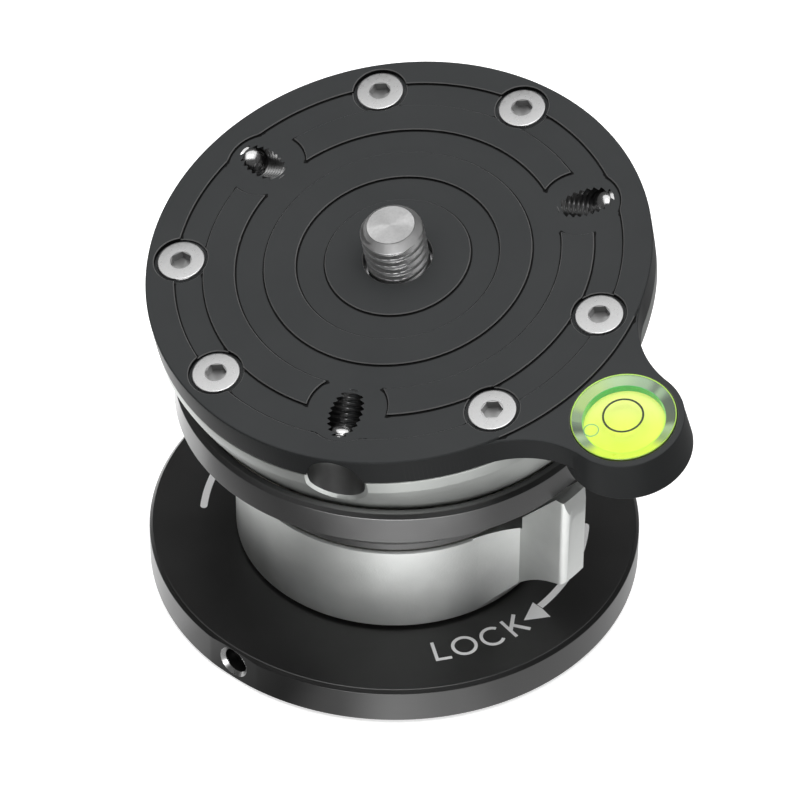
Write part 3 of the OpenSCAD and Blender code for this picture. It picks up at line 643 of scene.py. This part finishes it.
def rim_depth(x, y):
    """Distance of a point inside the plate from its outline."""
    a, swing = ear_geometry()
    az = (atan2(y, x) - vial_az + pi) % TAU - pi
    if abs(az) >= swing:
        return plate_r - hypot(x, y)
    c = Vector(polar(a, vial_az + copysign(swing, az)))
    past = Vector((x, y)) - vial_centre
    turn = abs(turn_between(degrees(vial_az), direction(past)))
    limit = abs(turn_between(degrees(vial_az), direction(c - vial_centre)))
    if turn <= limit:
        return ear_r - past.length
    return (Vector((x, y)) - c).length - ear_fillet_r


def rounding(depth):
    """Drop of the surface at a depth inside a rounded rim."""
    if depth >= plate_round:
        return 0.0
    d = max(depth, 0.0)
    return plate_round - sqrt(plate_round ** 2 - (plate_round - d) ** 2)


def bulged_circle(r, pocket_at, pocket_r, blend):
    """The outer recess's outer edge, which swells smoothly round each set screw's pocket."""
    a, b = r + blend, pocket_r + blend
    swing = acos((a * a + pocket_at ** 2 - b * b) / (2 * pocket_at * a))
    points = []
    for az in set_screw_az:
        points += swollen(Vector(polar(pocket_at, az)), pocket_r, az, a, blend, swing, 8, 20)
        start = degrees(az + swing)
        points += arc(0, 0, r, start, start + 120 - 2 * degrees(swing), 90)[1:-1]
    return points


# Heights of the plate's faces from its top lands
LAND, SUNK, EAR, OPEN = 0.0, -ring_recess, -ring_recess, None
SEAT, POCKET = -ring_recess - screw_seat_down, -vial_h


def plate_shapes():
    """Every boundary in the plate's plan, with a twin line beside each edge that is eased, and a line beside each
    step's foot that bounds a strip of painted shade.
    """
    pocket_at, pocket_r, blend, bolt_r = 28.0, 6.0, 2.0, 2.06
    rings = [(10.8, 15.1), (19.85, 24.15), (28.9, 33.2)]
    rim_shares = (0.08, 0.3, 1.0)
    shapes = {"whole": plate_outline(0), "disc": circle(0, 0, plate_r, 360)}
    for k, share in enumerate(rim_shares):
        shapes[f"rim_line_{k}"] = plate_outline(plate_round * share)
    shapes["disc_line"] = circle(0, 0, plate_r - fine_edge, 360)
    shapes["disc_foot_line"] = circle(0, 0, plate_r + shade_line, 360)
    for k, (inner, outer) in enumerate(rings):
        shapes[f"in_{k}"] = circle(0, 0, inner, 240)
        shapes[f"in_line_{k}"] = circle(0, 0, inner - fine_edge, 240)
        shapes[f"in_foot_line_{k}"] = circle(0, 0, inner + shade_line, 240)
        for kind, out in (("out", 0), ("out_line", fine_edge), ("out_foot_line", -shade_line)):
            if k < 2:
                shapes[f"{kind}_{k}"] = circle(0, 0, outer + out, 300)
            else:
                shapes[f"{kind}_{k}"] = bulged_circle(outer + out, pocket_at, pocket_r + out, blend - out)
    for k, az in enumerate(set_screw_az):
        at = polar(pocket_at, az)
        shapes[f"pocket_{k}"] = circle(*at, pocket_r, 120)
        shapes[f"pocket_foot_line_{k}"] = circle(*at, pocket_r - shade_line, 120)
        shapes[f"pocket_line_{k}"] = circle(*at, pocket_r + fine_edge, 120)
    for k, az in enumerate(screw_az):
        at = polar(screw_circle_r, az)
        shapes[f"seat_{k}"] = circle(*at, screw_seat_r, 96)
        shapes[f"seat_line_{k}"] = circle(*at, screw_seat_r + fine_edge, 96)
        shapes[f"bolt_{k}"] = circle(*at, bolt_r, 32)
    shapes["stud"] = circle(0, 0, stud_r + stud_gap, 96)
    shapes["stud_line"] = circle(0, 0, stud_r + stud_gap + fine_edge, 96)
    shapes["vial"] = circle(*vial_centre, vial_r + vial_gap, 144)
    shapes["vial_line"] = circle(*vial_centre, vial_r + vial_gap + fine_edge, 144)
    return shapes


def plate_level(inside):
    """Height of the top face over a patch, from the names of the shapes that it lies inside."""
    kinds = {n.rstrip("0123456789_") for n in inside if "line" not in n}
    if not kinds & {"whole", "disc"} or kinds & {"stud", "bolt"}:
        return OPEN
    if "seat" in kinds:
        return SEAT
    if "vial" in kinds:
        return POCKET
    if "disc" not in kinds:
        return EAR
    sunk = "pocket" in kinds or any(f"out_{k}" in inside and f"in_{k}" not in inside for k in range(3))
    return SUNK if sunk else LAND


def make_ear_side():
    """The ear's side widens downward from under the rounded rim, and clears the half ball below the plate."""
    skin, soft, gap, wall_t, floor_up = 0.03, 0.3, 0.3, 0.6, 0.45
    wall, floor = vial_r + wall_t, plate_bottom + floor_up
    start, foot = plate_top - ring_recess - plate_round, plate_bottom - ear_drop
    corners = [(wall, start), (ear_r - skin, start), (ear_foot_r, foot), (0, foot), (0, floor), (wall, floor)]
    side = lathe("ear_side", rounded(corners, [0, 0, soft, 0, 0, 0]), HEAD @ move(*vial_centre, 0), 144)
    return cut(side, rod("ball_clearance", ball_rim_r + gap, foot - 1, plate_bottom, HEAD, 288))


def plate_mesh():
    """The plate as vertices and faces: each patch of the plan at its height, with walls between them."""
    joined, near = 1e-4, 1e-6
    shapes = plate_shapes()
    names = list(shapes)
    corners, loops = [], []
    for outline in shapes.values():
        loops.append(list(range(len(corners), len(corners) + len(outline))))
        corners += [Vector(p) for p in outline]
    points, _, triangles, _, _, origins = delaunay_2d_cdt(corners, [], loops, 1, joined, True)
    levels = [plate_level({names[i] for i in o}) for o in origins]
    drops = [rounding(rim_depth(p.x, p.y)) for p in points]
    stud_edge = stud_r + stud_gap + fine_edge / 2

    lowest = {}
    for tri, level in zip(triangles, levels):
        if level is not None:
            for v in tri:
                lowest[v] = min(lowest.get(v, level), level)

    def top_z(v, level):
        eased = lowest[v] < level - near or points[v].length < stud_edge
        return level - max(drops[v], fine_edge if eased else 0.0)

    def floor_z(v):
        return -plate_t + drops[v]

    def height(level):
        return -inf if level is None else level

    stations, sides = {}, {}
    for tri, level in zip(triangles, levels):
        for i, v in enumerate(tri):
            w = tri[(i + 1) % 3]
            sides.setdefault((min(v, w), max(v, w)), []).append((level, v, w))
            stations.setdefault(v, set()).add(floor_z(v))
            if level is not None:
                stations[v].add(top_z(v, level))

    verts, index, faces = [], {}, []

    def vertex(v, z):
        key = (v, round(z, 5))
        if key not in index:
            index[key] = len(verts)
            verts.append((points[v].x, points[v].y, plate_top + z))
        return index[key]

    def span(v, low, high):
        """A point's heights from a wall's foot to its top."""
        bottom = floor_z(v) if low is None else top_z(v, low)
        return sorted(z for z in stations[v] if bottom - near <= z <= top_z(v, high) + near)

    for tri, level in zip(triangles, levels):
        if level is not None:
            faces.append([vertex(v, top_z(v, level)) for v in tri])
            faces.append([vertex(v, floor_z(v)) for v in reversed(tri)])
    for owners in sides.values():
        high, a, b = max(owners, key=lambda o: height(o[0]))
        low = min((o[0] for o in owners), key=height) if len(owners) > 1 else None
        if high is None or high == low:
            continue
        wall = [vertex(a, z) for z in span(a, low, high)]
        wall += [vertex(b, z) for z in reversed(span(b, low, high))]
        if len(set(wall)) > 2:
            faces.append(list(dict.fromkeys(wall)))
    return verts, faces


def make_head_plate():
    slot_crest_r, slot_foot, slot_top, access_end = 2.54, -9, 5.5, -46
    flange_af, flange_h = 16.08, 2.5
    verts, faces = plate_mesh()
    body = cleaned(new_object("head_plate_finish", verts, faces, HEAD))
    combine(body, "UNION", make_ear_side())
    for az in set_screw_az:
        thread = threaded("slot", thread_root_r, slot_crest_r, thread_pitch, slot_foot, slot_top,
                          on_set_screw(az), crest=0.1, root=0.14)
        cut(body, thread, slope_rod(az, access_r, access_end, -access_start, access_lift))
    cut(body, prism("flange_pocket", hexagon(flange_af), plate_bottom - 1, plate_bottom + flange_h, HEAD))
    own(smooth(body), "plate_charcoal", "head", "head_plate")
    dress_plate(body)


def dress_plate(body):
    """Gives the set screws' holes a grey metal, the steps' walls and a strip at their feet a painted shade, and
    the eased edges on top a painted highlight.
    """
    wall_slope, slot_r, skin, access_skin, access_into = 0.35, 2.6, 0.1, 0.02, 0.05
    top_zone, rim_zone = 1.0, 0.5

    def in_hole(face):
        sloped = face.normal.z < flat_slope and face.center.z / MM < plate_top - skin
        for to_screw in to_set_screws:
            p = to_screw @ (face.center / MM)
            in_slot = p.z > -access_start and hypot(p.x, p.y) < slot_r
            in_access = p.z < -access_start + access_into and from_access_axis(p) < access_r + access_skin
            if (in_slot and sloped) or in_access:
                return True
        return False

    def on_step(face):
        centre = face.center / MM
        on_top = face.normal.z < flat_slope and centre.z > plate_top - top_zone
        return on_top and rim_depth(centre.x, centre.y) > rim_zone

    in_shade_strip = painted_shade_strip(body)
    # the set screws' holes get the grey metal
    dress_part(body, "hole_grey_metal", in_hole)
    # painted shade on the steps' walls and on the strips at their feet
    dress_part(body, "plate_painted_shade", lambda face: in_shade_strip(face) or face.normal.z < wall_slope and on_step(face))
    # painted highlight on the eased edges on top
    dress_part(body, "plate_painted_sheen", on_step)


def painted_shade_strip(body):
    """Test for the narrow strip at the foot of each step, which is painted dark as the shade there."""
    level_skin, above, reach = 0.02, 0.1, 2.2 * shade_line
    verts = [v.co / MM for v in body.data.vertices]
    tops = [v for v in verts if plate_top - ring_recess + above < v.z < plate_top - fine_edge / 2]
    tree = KDTree(len(tops))
    for k, v in enumerate(tops):
        tree.insert((v.x, v.y, 0), k)
    tree.balance()

    def in_shade_strip(face):
        if face.normal.z <= flat_slope or abs(face.center.z / MM - plate_top + ring_recess) >= level_skin:
            return False
        spots = [verts[v].xy for v in face.vertices] + [(face.center / MM).xy]
        return max(tree.find((*spot, 0))[2] for spot in spots) < reach

    return in_shade_strip


# Camera stud: 3/8 inch thread with a turned tip
def make_stud():
    pitch, depth, crest_r, tip_r, tip_slope, smooth_angle = 1.5875, 0.66, 4.68, 3.5, 1.1, 40
    flange_af, flange_t, tip_t, tip_facing = 16, 2.46, 0.05, 0.75
    top = plate_top + stud_h
    body = threaded("camera_stud_finish", crest_r - depth, crest_r, pitch, plate_bottom + flange_t, top, HEAD,
                    crest=0.34, root=0.06, segs=128, rows=24, limit=lambda z: tip_r + (top - z) * tip_slope)
    merge(body, prism("flange", hexagon(flange_af), plate_bottom, plate_bottom + flange_t, HEAD))
    own(smooth(body, smooth_angle), "steel", "head", "camera_stud", material=turned_steel())
    # the thread's faces get the rougher steel, whose brighter tone is a painted highlight
    dress_part(body, "thread", lambda face: face.center.z / MM < top - tip_t and face.normal.z < tip_facing)


def turned_steel():
    """Steel with the streaks of turning round the piece's axis."""
    f = material_nodes("turned_steel")
    fine = f.noise(1800, 3)
    colour = f.ramp(fine, [(0.3, grey(0.66)), (0.7, grey(0.80))])
    p = f.principled(colour, f.spread(fine, 0.3, 0.36), None, Metallic=1.0, Anisotropic=0.85)
    tangent = f.add("ShaderNodeTangent", direction_type="RADIAL", axis="Z")
    f.link(tangent.outputs[0], p.inputs["Tangent"])
    return f.surface(p)


# Plate screws: flat heads with eased edges and hexagonal sockets
def make_plate_screws():
    socket_af, socket_depth, ease, lead = 2.8, 1.3, 0.28, 0.05
    shank_r, shank_end, drill_r, drill_h, drill_up = 2, -10.2, 1.2, 0.5, 0.1
    facing, skin = -0.5, 0.01
    turns = [-3, -3, -3, 25, -3, -3]
    head_z = plate_top - ring_recess + screw_proud
    mouth_r = socket_af / sqrt(3)
    outline = [(0, 0), (screw_head_r, 0), (screw_head_r, -screw_head_h), (shank_r, -screw_head_h),
               (shank_r, shank_end), (0, shank_end)]
    floor_z = -socket_depth + drill_up
    floor = [(0, -socket_depth - drill_h), (drill_r, floor_z), (0, floor_z)]
    mouth = [(0, -lead), (mouth_r - lead, -lead), (mouth_r + lead, lead), (0, lead)]

    # the socket's inner faces get the darker steel, painted shade
    def in_shaded_socket(face):
        deep = face.center.z / MM < -lead and face.normal.z > facing
        return deep and face.center.xy.length / MM < mouth_r + skin

    for k, (az, turn) in enumerate(zip(screw_az, turns)):
        at = HEAD @ move(*polar(screw_circle_r, az), head_z) @ Matrix.Rotation(radians(turn), 4, "Z")
        body = lathe(f"plate_screw_{k + 1}", rounded(outline, [0, ease, 0, 0, 0, 0], 5), at, 96)
        socket = prism("socket", hexagon(socket_af), -socket_depth, 1, at)
        cut(body, socket, lathe("mouth", mouth, at, 64), lathe("drill_point", floor, at, 48))
        own(smooth(body), "steel", "head", "plate_screws")
        dress_part(body, "socket", in_shaded_socket)


# Set screws: thread and a rounded tip
def make_set_screws():
    length, r, crest_r, nose_r, nose_h, apex = 4.0, 2.5, 2.44, 2.15, 1.2, 0.3
    socket_af, socket_depth, least_r, smooth_angle = 2.5, 2, 0.02, 40

    def limit(z):
        up = (z + nose_h) / (nose_h + apex)
        return r if up <= 0 else max(least_r, nose_r * sqrt(max(0.0, 1 - up * up)))

    for k, az in enumerate(set_screw_az):
        at = on_set_screw(az) @ move(0, 0, -set_screw_start)
        body = threaded(f"set_screw_{k + 1}", thread_root_r, crest_r, thread_pitch, -length, apex, at,
                        segs=64, rows=16, limit=limit)
        cut(body, prism("socket", hexagon(socket_af), -length - 1, -length + socket_depth, at))
        own(smooth(body, smooth_angle), "steel", f"head_screw_{k + 1}", f"head_set_screw_{k + 1}",
            material=materials["polished"])


# Lever ring: the solid with its edges eased
def make_lever_ring():
    ease, ease_from, smooth_angle, join = 0.22, 32, 35, 2e-6
    body = cleaned(in_scene("lever_ring_finish", frame["nodes"]["lever_ring"].data.copy()), join, False)
    m = body.modifiers.new("edges", "BEVEL")
    m.width, m.segments, m.limit_method = ease * MM, 2, "ANGLE"
    m.angle_limit = radians(ease_from)
    bake(body)
    own(smooth(body, smooth_angle), "bead_blasted", "lever", "lever_ring")


# Bubble vial, drawn at the depths at which the clear body shows them
vial_index = 1.49


def make_vial():
    at = HEAD @ move(*vial_centre, vial_z)
    body_foot, floor_t, tube_t, ease = 0.9, 0.3, 0.12, 0.35
    chamber_r, chamber_down, floor_down = 6.02, 1.35, 3.1
    collar_in, collar_down, collar_t = 0.12, 0.4, 0.05
    rim_in, rim_down, rim_line_r = 0.13, 0.3, 0.09
    target_down, bubble_down = 0.35, 0.32
    chamber_top, floor_z = vial_h - chamber_down / vial_index, vial_h - floor_down / vial_index
    tube_r, foot, wall_z = chamber_r - tube_t, floor_z - floor_t, vial_h - collar_down
    wall_r = vial_r - collar_in

    def part(name, profile, slot, material, *nodes):
        own(smooth(lathe(name, profile, at, 144)), slot, "head", *nodes, material=material)

    shell = [(0, body_foot), (vial_r, body_foot), (vial_r, vial_h), (0, vial_h)]
    part("vial_body_clear", rounded(shell, [0, 0, ease, 0], 5), "acrylic", clear_acrylic(), "vial_body")
    tube = [(tube_r, foot), (chamber_r, foot), (chamber_r, chamber_top), (tube_r, chamber_top)]
    part("vial_chamber", tube, "vial_green", liquid(), "vial_liquid")
    backing = [(0, foot), (tube_r, foot), (tube_r, floor_z), (0, floor_z)]
    part("vial_floor", backing, "vial_base", vial_floor(), "vial_backing")
    # A thin collar that carries the wall's painted light
    collar = [(chamber_r, chamber_top - collar_t), (wall_r, wall_z - collar_t), (wall_r, wall_z),
              (chamber_r, chamber_top)]
    part("vial_wall", collar, "vial_green", wall_painted_light())
    # A thin ring of painted glow round the rim
    part("vial_rim", circle(vial_r - rim_in, vial_h - rim_down, rim_line_r, 8), "vial_green", rim_line())
    flat_ring(at, "vial_target", (-0.05, 0.26), 2.87, 0.15, target_down, "ink")
    # the bubble's edge: a ring of painted shade
    flat_ring(at, "vial_bubble", (-4.66, -1.94), 1.05, 0.07, bubble_down, "bubble_rim_painted_shade")


def flat_ring(at, name, centre, r, half_w, down, look):
    """A thin ring that lies down below the vial's top: printed ink for the target, painted shade for the bubble's
    edge.
    """
    profile = [(r - half_w, 0), (r + half_w, 0), (r + half_w, film), (r - half_w, film)]
    ring = lathe(name, profile, at @ move(*centre, vial_h - down), 144)
    own(ring, "vial_green", "head", material=materials[look])


def clear_acrylic():
    f = material_nodes("clear_acrylic")
    see = f.shader("ShaderNodeBsdfTransparent", Color=(0.98, 1.0, 0.97, 1))
    haze = f.add("ShaderNodeBsdfDiffuse")
    f.link(f.ramp(f.noise(250), [(0.3, (0.5, 0.58, 0.5)), (0.7, (0.7, 0.8, 0.68))]), haze.inputs["Color"])
    gloss = f.shader("ShaderNodeBsdfGlossy", Roughness=0.08)
    f.link(f.bump(f.noise(300), 6e-6), gloss.inputs["Normal"])
    rim = f.shader("ShaderNodeFresnel", IOR=vial_index)
    return f.surface(f.mix(rim.outputs[0], f.mix(0.04, see, haze), gloss))


def painted_glow(name, stops, fac_of, glow):
    """A colour along fac_of and a painted glow: both stand in for light through the dyed liquid and the clear
    body.
    """
    f = material_nodes(name)
    colour = f.ramp(fac_of(f), stops, True)
    p = f.principled(colour, f.spread(f.noise(300), 0.25, 0.35), None, Emission_Strength=glow)
    f.link(colour, p.inputs["Emission Color"])
    return f.surface(p)


def along(f, vector, low, high):
    """0 to 1 along a direction in the piece's frame, between two distances in millimetres."""
    dot = f.add("ShaderNodeVectorMath", operation="DOT_PRODUCT")
    dot.inputs[1].default_value = vector
    f.link(f.place, dot.inputs[0])
    return f.spread(dot.outputs["Value"], 0, 1, low * MM, high * MM)


def radial(f, low, high):
    """0 to 1 away from the piece's own Z, between two distances in millimetres."""
    flat = f.add("ShaderNodeVectorMath", operation="MULTIPLY")
    flat.inputs[1].default_value = (1, 1, 0)
    f.link(f.place, flat.inputs[0])
    size = f.add("ShaderNodeVectorMath", operation="LENGTH")
    f.link(flat.outputs[0], size.inputs[0])
    return f.spread(size.outputs["Value"], 0, 1, low * MM, high * MM)


def around(f):
    """0 to 1 round the piece's own Z, from -180 to 180 degrees."""
    split = f.add("ShaderNodeSeparateXYZ")
    f.link(f.place, split.inputs[0])
    az = f.add("ShaderNodeMath", operation="ARCTAN2")
    f.link(split.outputs["Y"], az.inputs[0])
    f.link(split.outputs["X"], az.inputs[1])
    return f.spread(az.outputs[0], 0, 1, -pi, pi)


def by_azimuth(stops):
    """Stops given by their azimuth in degrees, as places on a ramp."""
    return [((az + 180) / 360, colour) for az, colour in stops]


def liquid():
    # Painted light: lime from -160 to -20 degrees round the vial and deep green from 70 to 130, as light through
    # the chamber makes it, with a painted glow
    lime, green = (0.5, 0.86, 0.02), (0.03, 0.42, 0.09)
    stops = [(-180, (0.2, 0.55, 0.1)), (-160, lime), (-20, lime), (10, (0.2, 0.52, 0.17)),
             (40, (0.06, 0.42, 0.13)), (70, green), (130, green), (165, (0.12, 0.5, 0.13))]
    return painted_glow("liquid", by_azimuth(stops), around, 0.2)


def vial_floor():
    # Painted light: the floor turns from lime to pale along one direction, with a painted glow
    stops = [(0.0, (0.62, 0.76, 0.03)), (0.4, (0.70, 0.78, 0.08)), (1.0, (0.74, 0.78, 0.2))]
    return painted_glow("vial_floor", stops, lambda f: along(f, (0.1, 1, 0), -5, 4), 0.3)


def wall_painted_light():
    # Painted refraction and reflection: lime, slate, pale and mint round the wall stand in for what shows through
    # and on the clear wall, with a painted glow
    lime, pale, slate, mint = (0.66, 0.80, 0.05), (0.30, 0.40, 0.30), (0.07, 0.09, 0.08), (0.40, 0.52, 0.20)
    stops = [(-180, (0.16, 0.2, 0.17)), (-168, slate), (-155, (0.36, 0.44, 0.34)), (-145, (0.2, 0.27, 0.2)),
             (-125, lime), (-55, lime), (-35, (0.24, 0.34, 0.16)), (-20, (0.34, 0.44, 0.3)), (-8, slate),
             (22, slate), (38, pale), (46, (0.14, 0.18, 0.15)), (60, pale), (95, (0.36, 0.50, 0.30)),
             (125, mint), (155, mint), (170, (0.24, 0.31, 0.22))]
    return painted_glow("vial_wall", by_azimuth(stops), around, 0.12)


def rim_line():
    # Painted glow: a lime ring on the rim stands in for the light along the clear rim
    return painted_glow("vial_rim", [(0.0, (0.55, 0.8, 0.12)), (1.0, (0.62, 0.9, 0.2))], around, 0.15)


# White marks printed on the base: an arc that ends in an arrow, and the word for the locked side
def flat_mark(name, outlines, turn):
    """A thin printed film on the base's top face from outlines given in millimetres."""
    at = Matrix.Rotation(turn, 4, "Z")
    first, *others = [prism(name, o, base_top, base_top + film, at) for o in outlines]
    combine(first, "UNION", *others)
    own(first, "base_black", "base", material=materials["print_white"])


def stroke(a, b, width):
    """A straight stroke from a to b."""
    a, b = Vector(a), Vector(b)
    side = Vector((a.y - b.y, b.x - a.x)).normalized() * width / 2
    return [tuple(a + side), tuple(a - side), tuple(b - side), tuple(b + side)]


def band(rx, ry, width, a0, a1, n=40):
    """A bent stroke along an ellipse round the origin."""
    half = width / 2
    outer = ellipse(0, 0, rx + half, ry + half, a0, a1, n)
    return outer + ellipse(0, 0, rx - half, ry - half, a0, a1, n)[::-1]


def letters():
    """Outlines of each letter about its own centre, +Y up, with the azimuth where it stands."""
    h, w, heavy = 3.9, 0.52, 0.598
    t, r = h / 2, h / 2 - w / 2
    foot = -t + w / 2
    return [
        (-76.2, [stroke((-1.0, t), (-1.0, -t), w), stroke((-1.0, foot), (1.25, foot), w)]),
        (-69.2, [band(1.75, r, w, -3, 183), band(1.75, r, w, 177, 363)]),
        (-60.2, [band(1.7, r, w, 42, 318)]),
        (-52.2, [stroke((-1.25, t), (-1.25, -t), w), stroke((-1.15, -0.35), (1.2, t), heavy),
                 stroke((-0.35, 0.35), (1.35, -t), heavy)]),
    ]


def make_marks():
    line_r, line_w, text_r = 29.3, 1.1, 29.7
    tail, head = -4.0, -41.5
    body = band(line_r, line_r, line_w, head, tail, 60)
    cap = circle(*polar(line_r, radians(tail)), line_w / 2, 24)
    arrow = [(19.5, -22.4), (20.9, -18.6), (22.3, -19.9), (23.5, -21.6)]
    for k in range(2):
        turn = k * pi
        flat_mark(f"arrow_{k + 1}", [body, cap, arrow], turn)
        for i, (az, outlines) in enumerate(letters()):
            a = radians(az)
            place, up = Vector(polar(text_r, a)), -Vector(polar(1, a))
            right = Vector((up.y, -up.x))
            placed = [[tuple(place + right * x + up * y) for x, y in o] for o in outlines]
            flat_mark(f"letter_{k + 1}_{i + 1}", placed, turn)


# Stage, light and camera
def make_camera():
    eye, aim = Vector((0, -575.73, 565.05)) * MM, Vector((0, 0, 20)) * MM
    focal_px, half, aim_px, roll = 5237.4, 400, Vector((394.706, 451.675)), -0.005
    forward = (aim - eye).normalized()
    right = forward.cross(Vector((0, 0, 1))).normalized()
    up = right.cross(forward)
    right, up = (Matrix.Rotation(roll, 3, forward) @ v for v in (right, up))
    shift = (Vector((half, half)) - aim_px) / focal_px
    forward = (forward + right * shift.x - up * shift.y).normalized()
    right = (right - right.dot(forward) * forward).normalized()
    data = bpy.data.cameras.new("camera")
    data.sensor_width = 36
    data.lens = focal_px / (2 * half) * data.sensor_width
    data.clip_start, data.clip_end = 0.01, 10
    cam = in_scene("camera", data)
    axes = Matrix((right, right.cross(forward), -forward)).transposed().to_4x4()
    cam.matrix_world = Matrix.Translation(eye) @ axes
    scene.camera = cam


def make_light(name, place, target, size, radiance, only_reflected=False, never_reflected=False):
    """A softbox. radiance is how bright it looks, 1 being white."""
    data = bpy.data.lights.new(name, "AREA")
    data.shape = "RECTANGLE"
    data.size, data.size_y = size
    data.energy = radiance * pi * size[0] * size[1]
    obj = in_scene(name, data)
    obj.location = place
    obj.rotation_mode = "QUATERNION"
    obj.rotation_quaternion = (Vector(target) - Vector(place)).to_track_quat("-Z", "Y")
    obj.visible_diffuse = not only_reflected
    obj.visible_glossy = not never_reflected


def make_world():
    """A studio sky: soft light from above, dim in reflections and white behind the object."""
    low, high, white = 0.05, 0.35, (1, 1, 1, 1)
    seen_by = (("Is Glossy Ray", 0.06), ("Is Transmission Ray", 0.8), ("Is Camera Ray", 1.0))
    world = bpy.data.worlds.new("studio")
    scene.world = world
    w = Nodes(world, "ShaderNodeOutputWorld", "Generated")
    split = w.add("ShaderNodeSeparateXYZ")
    w.link(w.place, split.inputs[0])
    rise = w.shader("ShaderNodeMapRange", To_Min=low, To_Max=high)
    rise.interpolation_type = "SMOOTHSTEP"
    w.link(split.outputs["Z"], rise.inputs["Value"])
    path = w.add("ShaderNodeLightPath")
    sky = w.shader("ShaderNodeBackground", Color=white)
    w.link(rise.outputs["Result"], sky.inputs["Strength"])
    for ray, strength in seen_by:
        seen = w.shader("ShaderNodeBackground", Color=white, Strength=strength)
        sky = w.mix(path.outputs[ray], sky, seen)
    w.surface(sky)


# What metal reflects in the floor: cards round the object with dark gaps between them. Each zone has the
# distances at which it begins to hide the one before and hides it fully, and its brightness by azimuth
card_zones = [
    (0, 0, [(-180, 0.52), (-170, 0.5), (-155, 0.42), (-145, 0.27), (-132, 0.1), (-118, 0.05), (-105, 0.2),
            (-90, 0.54), (-75, 0.41), (-60, 0.26), (-45, 0.25), (-15, 0.29), (60, 0.3), (140, 0.5),
            (165, 0.52)]),
    (48, 62, [(-180, 0.14), (-165, 0.07), (-151, 0.03), (-134, 0.02), (-120, 0.04), (-105, 0.17),
              (-90, 0.27), (-67, 0.18), (-44, 0.11), (0, 0.12), (60, 0.16), (105, 0.3), (148, 1.0),
              (165, 0.5)]),
    (80, 100, [(-180, 0.05), (-165, 0.03), (-140, 0.02), (-130, 0.05), (-113, 0.85), (-90, 1.0),
               (-68, 0.8), (-50, 0.15), (0, 0.1), (60, 0.14), (105, 0.15), (148, 0.2), (165, 0.12)]),
]


def reflected_cards(f):
    """Colour of the floor as metal reflects it."""
    turn, cards = around(f), None
    for start, end, stops in card_zones:
        zone = f.ramp(turn, by_azimuth([(az, grey(v)) for az, v in stops]), True)
        if cards is None:
            cards = zone
            continue
        mix = f.add("ShaderNodeMix", data_type="RGBA")
        f.link(radial(f, start, end), mix.inputs["Factor"])
        f.link(cards, mix.inputs["A"])
        f.link(zone, mix.inputs["B"])
        cards = mix.outputs["Result"]
    return cards


def floor_material():
    """White paper to the camera, dim where it lights the object, and cards in reflections."""
    paper_tone, paper_lift, dim_tone, card_strength = 0.82, 0.6, 0.1, 3.4
    f = material_nodes("floor")
    path = f.add("ShaderNodeLightPath")
    paper = f.shader("ShaderNodeBsdfDiffuse", Color=(*grey(paper_tone), 1))
    lift = f.shader("ShaderNodeEmission", Strength=paper_lift)
    seen = f.add("ShaderNodeAddShader")
    f.link(paper.outputs[0], seen.inputs[0])
    f.link(lift.outputs[0], seen.inputs[1])
    dim = f.shader("ShaderNodeBsdfDiffuse", Color=(*grey(dim_tone), 1))
    cards = f.shader("ShaderNodeEmission", Strength=card_strength)
    f.link(reflected_cards(f), cards.inputs["Color"])
    plain = f.mix(path.outputs["Is Camera Ray"], dim, seen)
    return f.surface(f.mix(path.outputs["Is Glossy Ray"], plain, cards))


def make_floor():
    half, z = 1.5, -0.0002
    corners = [(-half, -half, z), (half, -half, z), (half, half, z), (-half, half, z)]
    mesh = bpy.data.meshes.new("floor")
    mesh.from_pydata(corners, [], [(0, 1, 2, 3)])
    dress(in_scene("floor", mesh), floor_material())


make_base_plate()
make_housing()
make_half_ball()
make_head_plate()
make_stud()
make_plate_screws()
make_set_screws()
make_lever_ring()
make_vial()
make_marks()
make_camera()
make_world()
make_floor()
make_light("overhead", (0, 0.05, 1.0), (0, 0.05, 0.03), size=(1.5, 1.25), radiance=0.9)
make_light("sky_panel", (0, 0, 1.3), (0, 0, 0.03), size=(2.8, 2.8), radiance=0.85, never_reflected=True)
make_light("top_strip", (0, -0.2, 0.99), (0, 0, 0.03), size=(0.6, 0.3), radiance=3.0)
make_light("front_card", (-0.02, -0.6, 0.06), (0, 0, 0.02), size=(0.36, 0.16), radiance=5.0,
           only_reflected=True)
scene.view_settings.view_transform = "Standard"
